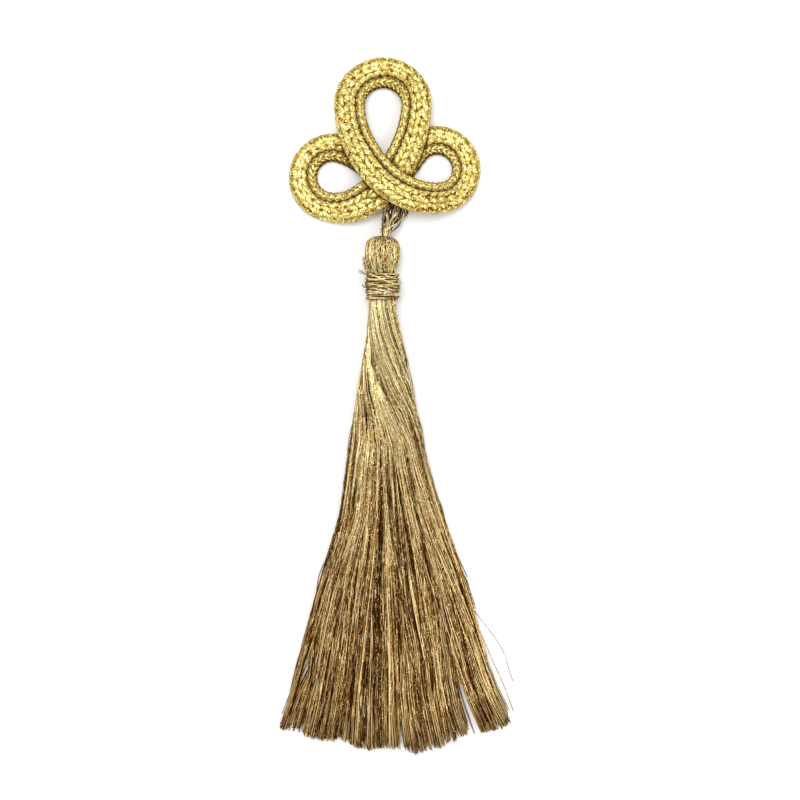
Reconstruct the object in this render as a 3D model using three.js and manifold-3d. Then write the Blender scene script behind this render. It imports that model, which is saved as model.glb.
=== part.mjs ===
// A gold tassel under a three-loop braid motif, lying face up on a table.
// Millimetres, +Z up. +Y runs from the hem to the top loop, and the origin is on the table, under the middle.
import * as THREE from "three";
import { mergeVertices } from "three/addons/utils/BufferGeometryUtils.js";
import Module from "manifold-3d";

const wasm = await Module();
wasm.setup();

// Braid of the motif
const BRAID_THICKNESS = 2.8;
const CROSSING_GAP = 0.4;
const LAYER = BRAID_THICKNESS + CROSSING_GAP;
const BRAID_STEPS = 100;

// The route turns left all the way. A loop is an arc of its centre line, from one angle to another.
const LOOPS = {
  left: { x: -18.15, y: 65.05, radius: 8.38, from: 75, to: 252 },
  top: { x: -3.7, y: 85.5, radius: 9.48, from: -3, to: 181 },
  right: { x: 11.75, y: 67.25, radius: 8.3, from: 285, to: 462 },
};
const LEFT_TAIL = { x: -5.8, y: 67.5, heading: 142 };
const RIGHT_TAIL = { x: 1.15, y: 67.4, heading: 225 };
const LINK_PULL = 0.38;

// Along each piece of the route: the layers of braid that lie under it, and the width.
const STATIONS = [
  { piece: "left_tail", share: 0, layers: 0, width: 9.2 },
  { piece: "left_loop", share: 0.2, layers: 0, width: 8.15 },
  { piece: "left_loop", share: 0.95, layers: 0, width: 8.3 },
  { piece: "rise", share: 0.34, layers: 1, width: 10.6 },
  { piece: "top_loop", share: 0, layers: 1, width: 8.6 },
  { piece: "top_loop", share: 0.4, layers: 0, width: 9.2 },
  { piece: "top_loop", share: 0.62, layers: 0, width: 9.2 },
  { piece: "fall", share: 0.08, layers: 1, width: 8.7 },
  { piece: "fall", share: 0.38, layers: 2, width: 9.8 },
  { piece: "fall", share: 0.74, layers: 2, width: 9.8 },
  { piece: "right_loop", share: 0.4, layers: 0, width: 8.45 },
  { piece: "right_loop", share: 0.9, layers: 0, width: 8.45 },
  { piece: "right_tail", share: 1, layers: 0, width: 9.2 },
];

// Section of the braid, from the loops' outer edge (0) to their inner edge (1), as a share of its thickness:
// a wide ribbed channel, a groove, and a narrow channel that lines the loops.
const BRAID_SECTION = [
  { across: 0.05, height: 0 },
  { across: 0, height: 0.35 },
  { across: 0.02, height: 0.7 },
  { across: 0.08, height: 0.93 },
  { across: 0.15, height: 0.87 },
  { across: 0.22, height: 0.99 },
  { across: 0.29, height: 0.92 },
  { across: 0.36, height: 1 },
  { across: 0.43, height: 0.92 },
  { across: 0.5, height: 0.97 },
  { across: 0.58, height: 0.86 },
  { across: 0.645, height: 0.62 },
  { across: 0.7, height: 0.84 },
  { across: 0.78, height: 0.92 },
  { across: 0.85, height: 0.84 },
  { across: 0.92, height: 0.86 },
  { across: 0.98, height: 0.62 },
  { across: 1, height: 0.33 },
  { across: 0.95, height: 0 },
];

// Tassel: a hank of threads doubled over the hanger, bound at the neck and cut level at the hem.
// Its own frame has the crown at y = 0, the head's axis over x = 0 and the table at z = 0.
const TASSEL_PLACE = { x: -3.85, y: 48.0 };
const FLUTES = 26;
const FLUTE_DEPTH = 0.04;

// Radius of the head at each drop below the crown. The threads part from the last one, the foot of the neck.
const HEAD = [
  { drop: 0, radius: 0 },
  { drop: 0.3, radius: 2.4 },
  { drop: 1.2, radius: 4.0 },
  { drop: 2.9, radius: 4.9 },
  { drop: 5.2, radius: 5.0 },
  { drop: 7.4, radius: 4.85 },
  { drop: 9.2, radius: 4.1 },
  { drop: 10.5, radius: 3.45 },
  { drop: 14.3, radius: 3.3 },
  { drop: 17.8, radius: 3.5 },
  { drop: 19.2, radius: 4.0 },
  { drop: 21.8, radius: 4.15 },
  { drop: 21.8, radius: 0 },
];

// Cord wound round the neck, with cut ends that stand out of it: root and tip, as the head's axis sees them
const BINDING_TOP_DROP = 10.5;
const BINDING_TURNS = 8;
const BINDING_PITCH = 0.92;
const BINDING_RADIUS = 5.15;
const BINDING_VALLEY = 0.3;
const BINDING_SIDES = 20;
const NECK_CLEARANCE = 0.3;
const HEAD_AXIS_Z = BINDING_RADIUS * Math.cos(Math.PI / BINDING_SIDES);
const LOOSE_END_RADIUS = 0.32;
const LOOSE_END_TIP = 0.4;
const LOOSE_ENDS = [
  { root: [-3.9, -11.0, 2.2], tip: [-5.9, -6.4, 3.3] },
  { root: [-4.0, -11.1, 1.6], tip: [-5.7, -8.0, 2.4] },
  { root: [-4.3, -11.2, 1.0], tip: [-6.8, -10.0, 1.1] },
  { root: [4.3, -15.9, 1.2], tip: [5.6, -14.2, 1.7] },
];

// Skirt: at each share of a thread's length, the fan's middle and half width, and its lowest and top heights.
const SKIRT_TOP_DROP = 17.8;
const SKIRT_LENGTH = 129.0;
const HEM_ARC = 0.058;
const HEM_TILT = 0.006;
const SKIRT = [
  { share: 0.02, middle: 0, half: 3.8, under: 1.4, over: 8.8 },
  { share: 0.1, middle: 0.35, half: 5.3, under: 0.4, over: 8.0 },
  { share: 0.24, middle: 0.95, half: 8.7, under: 0, over: 6.2 },
  { share: 0.38, middle: 1.25, half: 11.4, under: 0, over: 5.2 },
  { share: 0.52, middle: 2.45, half: 15.0, under: 0, over: 4.5 },
  { share: 0.66, middle: 2.75, half: 20.5, under: 0, over: 3.9 },
  { share: 0.81, middle: 3.55, half: 25.8, under: 0, over: 3.4 },
  { share: 1, middle: 3.8, half: 32.6, under: 0, over: 2.9 },
];
const SKIRT_LAYERS = 5;
const THREADS_PER_LAYER = 30;
const THREAD_FILL = 0.74;
const HEM_DROOP = 0.45;
const HEM_RAGGEDNESS = 1.4;

// Where the hem falls open, across the fan from -1 to 1: where it starts, and how far each side moves.
const PARTINGS = [
  { across: -0.81, opens: 0.76, width: 0.8 },
  { across: -0.42, opens: 0.85, width: 0.4 },
  { across: 0.05, opens: 0.84, width: 0.8 },
  { across: 0.49, opens: 0.8, width: 0.5 },
  { across: 0.66, opens: 0.79, width: 1.7 },
];
const PARTING_REACH = 0.5;

// Hanger: nested loops of thread from the crown to the back of the motif.
const HANGER_HALF_WIDTHS = [0.85, 1.65, 2.45, 3.25];
const HANGER_THREAD = 0.6;
const HANGER_ROOT = { x: -3.25, y: 48.3, z: 5.0, radius: 0.95, height: 1.2 };
const HANGER_STEPS = 18;
const HANGER_TOP_Y = 59.6;
const HANGER_NEST = 0.85;
// Stations of one leg, from the crown up: the loop's middle, its share of the half width, and its height.
const HANGER_LEG = [
  { x: -3.1, y: 49.0, spread: 0.18, z: 4.8 },
  { x: -2.5, y: 50.2, spread: 0.27, z: 4.3 },
  { x: -1.0, y: 52.7, spread: 0.66, z: 3.3 },
  { x: -0.1, y: 55.4, spread: 1, z: 2.2 },
];
const HANGER_TURN = { x: 0.2, z: 1.3 };

const DEGREE = Math.PI / 180;
const CORD_SECTION = [
  new THREE.Vector2(-1, 0),
  new THREE.Vector2(0, 1),
  new THREE.Vector2(1, 0),
  new THREE.Vector2(0, -1),
];

// Closed solid through a row of rings that all have the section's points in the same order.
function sweptSolid(rings, section) {
  const points = section.length;
  const index = [];
  for (let i = 0; i + 1 < rings.length; i += 1) {
    for (let j = 0; j < points; j += 1) {
      const next = (j + 1) % points;
      const a = i * points + j;
      const b = i * points + next;
      index.push(a, a + points, b, b, a + points, b + points);
    }
  }
  const last = (rings.length - 1) * points;
  for (const [a, b, c] of THREE.ShapeUtils.triangulateShape(section, [])) {
    index.push(a, c, b, last + a, last + b, last + c);
  }
  const geometry = new THREE.BufferGeometry().setFromPoints(rings.flat());
  geometry.setIndex(index);
  return geometry;
}

function manifoldOf(geometry) {
  const bare = geometry.clone();
  bare.deleteAttribute("normal");
  bare.deleteAttribute("uv");
  const merged = mergeVertices(bare);
  return new wasm.Manifold(
    new wasm.Mesh({
      numProp: 3,
      vertProperties: merged.attributes.position.array,
      triVerts: new Uint32Array(merged.index.array),
    }),
  );
}

function geometryOf(solid) {
  const mesh = solid.getMesh();
  const geometry = new THREE.BufferGeometry();
  geometry.setAttribute("position", new THREE.BufferAttribute(mesh.vertProperties, 3));
  geometry.setIndex(new THREE.BufferAttribute(mesh.triVerts, 1));
  return geometry;
}

function joined(geometries) {
  return geometryOf(wasm.Manifold.union(geometries.map(manifoldOf)));
}

function smooth(x) {
  return THREE.MathUtils.smoothstep(x, 0, 1);
}

// Braid motif

function arcOf({ x, y, radius, from, to }) {
  return new THREE.EllipseCurve(x, y, radius, radius, from * DEGREE, to * DEGREE);
}

function onLoop({ x, y, radius }, angle) {
  return {
    x: x + radius * Math.cos(angle * DEGREE),
    y: y + radius * Math.sin(angle * DEGREE),
    heading: angle + 90,
  };
}

// Cubic curve from one point and heading to another.
function link(start, end) {
  const pull = LINK_PULL * Math.hypot(end.x - start.x, end.y - start.y);
  const ahead = ({ x, y, heading }, reach) =>
    new THREE.Vector2(x + reach * Math.cos(heading * DEGREE), y + reach * Math.sin(heading * DEGREE));
  return new THREE.CubicBezierCurve(ahead(start, 0), ahead(start, pull), ahead(end, -pull), ahead(end, 0));
}

function braidPieces() {
  const { left, top, right } = LOOPS;
  return {
    left_tail: link(LEFT_TAIL, onLoop(left, left.from)),
    left_loop: arcOf(left),
    rise: link(onLoop(left, left.to), onLoop(top, top.from)),
    top_loop: arcOf(top),
    fall: link(onLoop(top, top.to), onLoop(right, right.from)),
    right_loop: arcOf(right),
    right_tail: link(onLoop(right, right.to), RIGHT_TAIL),
  };
}

// A column of the stations as a smooth function of the distance along the route.
function along(pieces, column) {
  const starts = {};
  let distance = 0;
  for (const [name, curve] of Object.entries(pieces)) {
    starts[name] = distance;
    distance += curve.getLength();
  }
  const knots = STATIONS.map((row) => ({
    at: starts[row.piece] + row.share * pieces[row.piece].getLength(),
    value: row[column],
  }));
  return (at) => {
    const next = Math.max(1, knots.findIndex((knot) => knot.at >= at - 1e-6));
    const [a, b] = [knots[next - 1], knots[next]];
    return THREE.MathUtils.lerp(a.value, b.value, smooth((at - a.at) / (b.at - a.at)));
  };
}

function braidMotif() {
  const pieces = braidPieces();
  const route = new THREE.CurvePath();
  Object.values(pieces).forEach((curve) => route.add(curve));
  const length = route.getLength();
  const layersAt = along(pieces, "layers");
  const widthAt = along(pieces, "width");
  const section = BRAID_SECTION.map(({ across, height }) => new THREE.Vector2(across - 0.5, height));
  const rings = [];
  for (let step = 0; step <= BRAID_STEPS; step += 1) {
    const share = step / BRAID_STEPS;
    const { x, y } = route.getPointAt(share);
    const tangent = route.getTangentAt(share);
    const width = widthAt(share * length);
    const lift = layersAt(share * length) * LAYER;
    const onSection = ({ x: u, y: v }) =>
      new THREE.Vector3(x - tangent.y * u * width, y + tangent.x * u * width, lift + v * BRAID_THICKNESS);
    rings.push(section.map(onSection));
  }
  return sweptSolid(rings, section);
}

// Tassel

function fluted(lathe) {
  const position = lathe.attributes.position;
  for (let i = 0; i < position.count; i += 1) {
    const flute = Math.atan2(position.getX(i), position.getZ(i)) / ((2 * Math.PI) / FLUTES);
    const scale = Math.abs(Math.round(flute)) % 2 === 0 ? 1 : 1 - FLUTE_DEPTH;
    position.setX(i, position.getX(i) * scale);
    position.setZ(i, position.getZ(i) * scale);
  }
  return lathe;
}

function headSolid() {
  const profile = HEAD.map(({ drop, radius }) => new THREE.Vector2(radius, -drop)).reverse();
  return fluted(new THREE.LatheGeometry(profile, FLUTES)).translate(0, 0, HEAD_AXIS_Z);
}

function partingShift(across, share) {
  let shift = 0;
  for (const { across: at, opens, width } of PARTINGS) {
    const reach = Math.max(0, 1 - Math.abs(across - at) / PARTING_REACH);
    shift += Math.sign(across - at) * width * reach * smooth((share - opens) / (1 - opens));
  }
  return shift;
}

// One three-sided thread of the skirt, flat side down.
// It starts on the chord of the round neck at its layer's height, and fans out to the full width of the hem.
function skirtThread(layer, column) {
  const stagger = layer % 2 === 0 ? 0.25 : -0.25;
  const across = (2 * (column + 0.5 + stagger)) / THREADS_PER_LAYER - 1;
  const level = (layer + 0.5) / SKIRT_LAYERS;
  const chord = Math.sqrt(1 - (2 * level - 1) ** 2);
  const raggedness = THREE.MathUtils.seededRandom(1 + layer * THREADS_PER_LAYER + column) - 0.5;
  const section = [new THREE.Vector2(-1, 0), new THREE.Vector2(0, 1), new THREE.Vector2(1, 0)];
  const rings = SKIRT.map(({ share, middle, half, under, over }) => {
    const fan = smooth((share - SKIRT[0].share) / (1 - SKIRT[0].share));
    const spread = half * THREE.MathUtils.lerp(chord, 1, Math.sqrt(fan));
    const crown = 1 - HEM_DROOP * across ** 2 * fan;
    const rise = ((over - under) / SKIRT_LAYERS) * crown;
    const x = middle + across * spread + partingShift(across, share);
    const run = SKIRT_LENGTH * share * (1 - HEM_ARC * across ** 2 - HEM_TILT * across);
    const y = -SKIRT_TOP_DROP - run - raggedness * HEM_RAGGEDNESS * fan;
    const z = under + rise * layer;
    const halfWidth = (THREAD_FILL * spread) / THREADS_PER_LAYER;
    return section.map((p) => new THREE.Vector3(x + p.x * halfWidth, y, z + p.y * rise * THREAD_FILL));
  });
  return sweptSolid(rings, section);
}

function tassel() {
  const pieces = [headSolid()];
  for (let layer = 0; layer < SKIRT_LAYERS; layer += 1) {
    for (let column = 0; column < THREADS_PER_LAYER; column += 1) {
      pieces.push(skirtThread(layer, column));
    }
  }
  return joined(pieces);
}

// Neck binding, about the axis of the head

// Four-sided ring square to the way ahead.
function cordRing(centre, ahead, radius) {
  const left = new THREE.Vector3(0, 0, 1).cross(ahead).normalize();
  const above = new THREE.Vector3().crossVectors(ahead, left).normalize();
  return CORD_SECTION.map((p) =>
    centre.clone().addScaledVector(left, p.x * radius).addScaledVector(above, p.y * radius),
  );
}

function looseEnd({ root, tip }) {
  const start = new THREE.Vector3(...root);
  const end = new THREE.Vector3(...tip);
  const ahead = end.clone().sub(start).normalize();
  return sweptSolid(
    [cordRing(start, ahead, LOOSE_END_RADIUS), cordRing(end, ahead, LOOSE_END_RADIUS * LOOSE_END_TIP)],
    CORD_SECTION,
  );
}

function neckBinding() {
  const underneath = HEAD.filter(({ drop }) => drop >= BINDING_TOP_DROP && drop <= SKIRT_TOP_DROP);
  const inner = Math.max(...underneath.map(({ radius }) => radius)) + NECK_CLEARANCE;
  const length = BINDING_TURNS * BINDING_PITCH;
  const valley = BINDING_RADIUS - BINDING_VALLEY;
  const profile = [new THREE.Vector2(inner, -length), new THREE.Vector2(valley, -length)];
  for (let turn = BINDING_TURNS - 1; turn >= 0; turn -= 1) {
    profile.push(new THREE.Vector2(BINDING_RADIUS, -(turn + 0.5) * BINDING_PITCH));
    profile.push(new THREE.Vector2(valley, -turn * BINDING_PITCH));
  }
  profile.push(new THREE.Vector2(inner, 0), profile[0].clone());
  const turns = new THREE.LatheGeometry(profile, BINDING_SIDES, Math.PI / BINDING_SIDES);
  return joined([turns.translate(0, -BINDING_TOP_DROP, 0), ...LOOSE_ENDS.map(looseEnd)]);
}

// Hanger

function hangerThread(halfWidth, depth) {
  const leg = (side) =>
    HANGER_LEG.map(
      ({ x, y, spread, z }) => new THREE.Vector3(x + side * spread * halfWidth, y, z),
    );
  const top = new THREE.Vector3(HANGER_TURN.x, HANGER_TOP_Y - depth * HANGER_NEST, HANGER_TURN.z);
  const route = new THREE.CatmullRomCurve3([...leg(-1), top, ...leg(1).reverse()]);
  const rings = [];
  for (let step = 0; step <= HANGER_STEPS; step += 1) {
    const share = step / HANGER_STEPS;
    rings.push(cordRing(route.getPointAt(share), route.getTangentAt(share), HANGER_THREAD / 2));
  }
  return sweptSolid(rings, CORD_SECTION);
}

function hangerLoop() {
  const { x, y, z, radius, height } = HANGER_ROOT;
  const root = new THREE.CylinderGeometry(radius, radius, height, 8).translate(x, y + height / 2, z);
  const outermost = HANGER_HALF_WIDTHS.length - 1;
  const threads = HANGER_HALF_WIDTHS.map((halfWidth, i) => hangerThread(halfWidth, outermost - i));
  return joined([root, ...threads]);
}

// Assembly

function piece(name, geometry, color, roughness, metalness) {
  const mesh = new THREE.Mesh(geometry, new THREE.MeshStandardMaterial({ color, roughness, metalness }));
  mesh.name = name;
  return mesh;
}

const boundTassel = new THREE.Group();
const binding = piece("neck_binding", neckBinding(), 0xb3965c, 0.4, 0.6);
binding.position.z = HEAD_AXIS_Z;
boundTassel.add(piece("tassel", tassel(), 0xb18c48, 0.4, 0.6), binding);
boundTassel.position.set(TASSEL_PLACE.x, TASSEL_PLACE.y, 0);

const goldTassel = new THREE.Group();
goldTassel.add(
  piece("braid_motif", braidMotif(), 0xd8b450, 0.45, 0.6),
  piece("hanger_loop", hangerLoop(), 0xb89a5c, 0.4, 0.6),
  boundTassel,
);

export default goldTassel;
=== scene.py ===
"""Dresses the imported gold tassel: braid, hanger, head, skirt and neck binding, on a pale floor."""

from math import atan, cos, pi, radians, sin, tanh

import bpy
import numpy as np
from bpy.props import FloatProperty, FloatVectorProperty, IntProperty, PointerProperty
from bpy.types import Operator, Panel, PropertyGroup
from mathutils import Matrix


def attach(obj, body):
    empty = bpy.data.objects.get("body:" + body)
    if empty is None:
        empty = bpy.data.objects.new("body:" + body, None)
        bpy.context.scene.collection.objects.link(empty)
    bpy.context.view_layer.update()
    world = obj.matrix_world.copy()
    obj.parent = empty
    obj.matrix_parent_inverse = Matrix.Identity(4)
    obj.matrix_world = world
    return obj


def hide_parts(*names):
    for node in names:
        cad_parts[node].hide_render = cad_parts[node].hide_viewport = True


bl_info = {
    "name": "Gold Tassel",
    "version": (1, 0, 0),
    "blender": (4, 5, 0),
    "location": "View3D > Sidebar > Tassel",
    "description": "Plaited braid motif, hanger, bound head and fanned skirt of a gold tassel",
    "category": "Object",
}

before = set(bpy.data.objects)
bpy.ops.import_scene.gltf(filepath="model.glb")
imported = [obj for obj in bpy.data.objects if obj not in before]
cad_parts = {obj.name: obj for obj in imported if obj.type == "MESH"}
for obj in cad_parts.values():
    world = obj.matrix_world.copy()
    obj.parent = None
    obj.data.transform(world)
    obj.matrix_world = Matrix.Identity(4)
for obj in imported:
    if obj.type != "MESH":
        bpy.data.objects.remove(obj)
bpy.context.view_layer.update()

# Lengths of the shapes are in millimetres, as in the part's source. A mesh is made in metres.
MM = 0.001
UP = (0, 0, 1)

# Braid: its route turns left all the way. A loop is x, y, radius and the angles where it starts and ends.
LOOPS = {
    "left": (-18.15, 65.05, 8.38, 75, 252),
    "top": (-3.7, 85.5, 9.48, -3, 181),
    "right": (11.75, 67.25, 8.3, 285, 462),
}
LEFT_TAIL = ((-5.8, 67.5), 142)
RIGHT_TAIL = ((1.15, 67.4), 225)
LINK_PULL = 0.38
LAYER = 3.2
ROUTE_SAMPLES = 400

# Along each piece of the route: the share of that piece, the layers of braid under it, its width, and where
# the groove between its channels lies across it. The braid tips over on its bends, so the groove moves
# outward there.
BRAID_STATIONS = (
    ("left_tail", 0, 0, 9.2, 1.6),
    ("left_loop", 0.2, 0, 8.15, 0.5),
    ("left_loop", 0.95, 0, 8.6, 1.4),
    ("rise", 0.34, 1, 10.6, 2.1),
    ("top_loop", 0, 1, 9.1, 1.75),
    ("top_loop", 0.4, 0, 9.2, 0.6),
    ("top_loop", 0.62, 0, 9.2, 1.0),
    ("fall", 0.08, 1, 9.2, 1.75),
    ("fall", 0.38, 2, 9.8, 2.05),
    ("fall", 0.74, 2, 9.8, 2.0),
    ("right_loop", 0.4, 0, 8.45, 1.5),
    ("right_loop", 0.9, 0, 8.45, 0.8),
    ("right_tail", 1, 0, 9.2, 1.6),
)

# Middle lines of the yarns round the two channels of a braid of NOMINAL_WIDTH: across, from the loops' outer
# edge to their inner edge, and height. Each goes up its outer side, over the top and back underneath.
NOMINAL_WIDTH = 9.0
WIDE_CHANNEL = (
    (-3.3, 0.62),
    (-3.8, 0.87),
    (-4.0, 1.4),
    (-3.8, 1.9),
    (-3.2, 2.2),
    (-2.2, 2.3),
    (-1.0, 2.32),
    (0.0, 2.24),
    (0.65, 2.0),
    (0.95, 1.5),
    (0.9, 0.95),
    (0.4, 0.63),
    (-1.0, 0.62),
    (-2.2, 0.62),
)
NARROW_CHANNEL = (
    (1.95, 0.62),
    (1.65, 1.0),
    (1.65, 1.5),
    (1.95, 1.9),
    (2.5, 2.1),
    (3.1, 2.02),
    (3.6, 1.72),
    (3.8, 1.27),
    (3.6, 0.82),
    (3.1, 0.62),
    (2.5, 0.62),
)

# Where the groove lies across these lines, and the edges that stay where they are when it moves
GROOVE = 1.3
OUTER_EDGE = -4.4
INNER_EDGE = 4.2

# Plait: the sides of a yarn, and how dark the painted shade is in the valleys between the floats and in
# the groove
YARN_SIDES = {"wide": 8, "narrow": 6}
VALLEY_SHADE = {"wide": 0.9, "narrow": 0.6}
GROOVE_SHADE = 0.75
GROOVE_BELL = 0.2

# A yarn sways round its channel by a share of the way round, in waves this long. Its rise is squared off.
YARN_SWAY = 0.014
YARN_SWAY_RUN = 13
RISE_SQUARENESS = 1.2

# Filling: how far it lies in from the middle lines of the yarns, and the dark strip of painted shadow at the
# bottom of the groove, as its height, half width and half height
FILLING_INSET = 0.45
GROOVE_SHADOW_STRIP = (1.5, 0.25, 0.4)

# Shadow of one layer of braid on another: its reach, the share of the width where the upper one's edge is,
# how much higher that one lies, and how far off along the route
SHADOW_REACH = 0.6
SHADOW_EDGE = 0.46
SHADOW_LIFT = 1.2
SHADOW_WAY = 14

# Tassel: the crown is at TASSEL_PLACE, and drops are measured down from it. The head has the height of its
# axis, how far its inside is drawn in, the sway of its threads in radians, how far they lie in, the share of
# them that is dark, and its profile as drops and radii.
TASSEL_PLACE = (-3.85, 48.0)
HEAD_AXIS_Z = 5.15 * cos(pi / 20)
HEAD_INSET = 0.5
HEAD_SWAY = 0.06
HEAD_DEPTHS = (-0.4, -0.12)
DARK_HEAD_THREADS = 0.18
HEAD = (
    (0.3, 0.45),
    (0.5, 2.4),
    (1.3, 4.0),
    (2.9, 4.9),
    (5.2, 5.0),
    (7.4, 4.85),
    (9.2, 4.1),
    (10.5, 3.55),
    (14.3, 3.4),
    (17.0, 3.4),
)

# Skirt: where it starts and its length, how much shorter it is at its edges and on its right, how much lower
# its edges lie, and the turn of its threads under the neck in radians, with the share of the length where it
# ends. Then, by share of a thread's length, the fan's middle and half width, and its lowest and top heights.
SKIRT_TOP_DROP = 17.8
SKIRT_LENGTH = 129.0
HEM_ARC = 0.058
HEM_TILT = 0.006
HEM_DROOP = 0.45
NECK_TWIST = 1.7
NECK_TWIST_END = 0.34
SKIRT = (
    (-0.04, 0, 3.4, 1.7, 8.5),
    (0.02, 0, 3.8, 1.4, 8.8),
    (0.1, 0.6, 4.75, 0.4, 8.0),
    (0.24, 0.85, 8.3, 0, 6.2),
    (0.38, 1.25, 11.4, 0, 5.2),
    (0.52, 2.45, 15.0, 0, 4.5),
    (0.66, 2.65, 20.7, 0, 3.9),
    (0.81, 2.85, 25.5, 0, 3.4),
    (0.91, 2.9, 28.5, 0, 3.1),
    (1, 3.6, 32.9, 0, 2.9),
)

# Threads of the skirt: the shares of the length where they start, in the neck, and where the hem begins, the
# points of each, their lowest level, and the place across the fan past which they are held in, and how far
SKIRT_START = -0.035
HEM_START = 0.88
SKIRT_STEPS = 18
LOWEST_LEVEL = 0.01
FAN_EDGE = 0.93
FAN_MARGIN = 0.08

# Locks of the skirt: their reach across the fan and how far they lie off even places there, the share of them
# on top, the levels of those and of the rest, and the spreads of their length, sway, shade and slant
LOCK_REACH = 0.96
LOCK_UNEVEN = 0.018
TOP_LOCKS = 0.72
TOP_LEVELS = (0.7, 0.95)
LOW_LEVELS = (0.02, 0.6)
LOCK_LENGTHS = 1.2
LOCK_SWAY = 0.034
LOCK_BEATS = (0.8, 2.4)
LOCK_SHADES = 0.06
LOCK_SLANT = (0.4, 0.35)

# Threads of a lock: how far they lie from its middle and from its level, and the beats in which they cross
# it. Then the share of threads that lie in no lock, and their slant.
LOCK_SPREAD = 0.055
LEVEL_SPREAD = 0.14
THREAD_BEATS = (0.1, 0.7)
LOOSE_THREADS = 0.18
LOOSE_SLANT = (0.1, 0.24)

# Each thread's own spread of length, its ripple and the beats of that, and its fray at the hem. Then the
# share of threads that are thin dark lines, and how far a gap sinks.
THREAD_LENGTHS = 0.8
RIPPLE = (0.05, 0.32)
RIPPLE_BEATS = (1.5, 4.5)
HEM_FRAY = 0.22
THIN_LINES = 0.25
GAP_SINK = 0.35

# How much longer the clumps of the hem are than its arc, by their place across the fan from -1 to 1
HEM_STEPS = (
    (-1.05, 0.6),
    (-0.97, 0.5),
    (-0.88, -0.9),
    (-0.8, 0.0),
    (-0.6, -0.7),
    (-0.48, -1.6),
    (-0.36, -0.3),
    (-0.2, -0.4),
    (0.03, -0.8),
    (0.18, 0.8),
    (0.35, 0.5),
    (0.52, -0.6),
    (0.62, -0.6),
    (0.75, -0.9),
    (0.88, 0.4),
    (1.05, 0.0),
)

# Where the hem falls open: the place across the fan from -1 to 1, the share of the length where that starts,
# how far the threads on the left and on the right of it move, and how far across the fan they do so
PARTINGS = (
    (-0.83, 0.84, 0.3, 0.6, 0.3),
    (-0.42, 0.88, 0.5, 0.5, 0.4),
    (0.06, 0.9, 0.7, 0.7, 0.3),
    (0.52, 0.92, 0.6, 0.6, 0.2),
    (0.69, 0.78, 2.0, 2.0, 0.3),
)

# A slit that closes again above the hem: a parting's values, with the share where it closes as the third
SLIT = (-0.94, 0.8, 0.945, 0.6, 1.7, 0.15)

# Long gaps between the locks: the width of each and the share of the length in which it ends, and then the
# place across the fan and share of the length at its two ends, and its depth from 0 to 1, by which the
# threads there sink and are darkened with painted shadow
GAP_BELL = 0.4
GAP_ENDS = 0.06
GAPS = (
    (0.2, 0.32, 0.13, 0.52, 1.0),
    (0.13, 0.48, 0.07, 0.86, 1.0),
    (0.26, 0.38, 0.22, 0.72, 0.8),
    (0.52, 0.32, 0.55, 0.72, 1.0),
    (0.01, 0.36, 0.02, 0.58, 0.7),
    (-0.86, 0.22, -0.83, 0.58, 0.7),
    (-0.64, 0.1, -0.6, 0.32, 0.8),
    (-0.75, 0.4, -0.77, 0.7, 0.6),
    (-0.52, 0.5, -0.5, 0.78, 0.8),
    (-0.22, 0.4, -0.15, 0.84, 0.6),
    (-0.69, 0.66, -0.71, 1.04, 0.9),
    (-0.93, 0.64, -0.95, 1.04, 0.8),
    (-0.85, 0.76, -0.82, 1.04, 0.8),
    (-0.42, 0.78, -0.42, 1.04, 0.8),
    (-0.31, 0.76, -0.3, 1.04, 0.6),
    (0.67, 0.7, 0.62, 1.0, 0.6),
    (0.8, 0.8, 0.81, 1.0, 0.6),
    (0.93, 0.66, 0.93, 0.88, 0.6),
    (-0.18, 0.15, 0.06, 0.27, 0.8),
    (0.18, 0.2, 0.34, 0.3, 0.8),
    (0.84, 0.24, 0.9, 0.52, 0.7),
)

# Stray threads of the skirt: three places of each, as a share of its length and a place across the fan.
FLYAWAYS = (
    ((0.74, 0.99), (0.86, 1.17), (0.94, 1.16)),
    ((0.8, 1.0), (0.91, 1.07), (1.0, 1.04)),
    ((0.78, 0.98), (0.9, 1.05), (0.99, 1.03)),
    ((0.42, 0.97), (0.49, 1.03), (0.58, 0.98)),
    ((0.24, 0.96), (0.31, 1.05), (0.38, 0.98)),
    ((0.74, -0.97), (0.86, -1.03), (0.98, -1.0)),
    ((0.5, -0.98), (0.56, -1.02), (0.64, -0.98)),
    ((0.26, -0.97), (0.33, -1.04), (0.4, -0.98)),
    ((0.78, 0.66), (0.9, 0.685), (1.0, 0.69)),
    ((0.8, 0.67), (0.9, 0.695), (0.97, 0.7)),
    ((0.82, 0.69), (0.92, 0.69), (1.0, 0.7)),
    ((0.3, -0.3), (0.5, -0.22), (0.7, -0.2)),
    ((0.45, 0.2), (0.7, 0.1), (0.97, 0.16)),
    ((0.5, 0.45), (0.7, 0.4), (0.95, 0.26)),
    ((0.55, -0.5), (0.75, -0.42), (0.98, -0.5)),
)

# Neck binding: its top, the drops below it where the cord starts and ends, and its layers of cord, as the
# number of turns, how far they lean and sag, how far each turn goes down, and the radius
BINDING_TOP_DROP = 10.5
BINDING_REACH = (0.2, 7.6)
RINGS_TO_A_TURN = 70
BINDING_LAYERS = (
    (12.0, 0.2, 0.3, 0.6, 4.58),
    (4.0, -1.2, -0.3, 1.75, 4.74),
    (3.5, 1.4, 0.8, 2.0, 4.84),
    (2.0, -2.0, 0.4, 3.2, 4.9),
)

# The drum under those layers: drops below the binding's top, and radii
BINDING_DRUM = (
    (0.2, 3.3),
    (0.5, 3.85),
    (1.2, 4.3),
    (2.5, 4.4),
    (5.0, 4.4),
    (6.6, 4.3),
    (7.2, 3.95),
    (7.35, 3.6),
)

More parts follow.
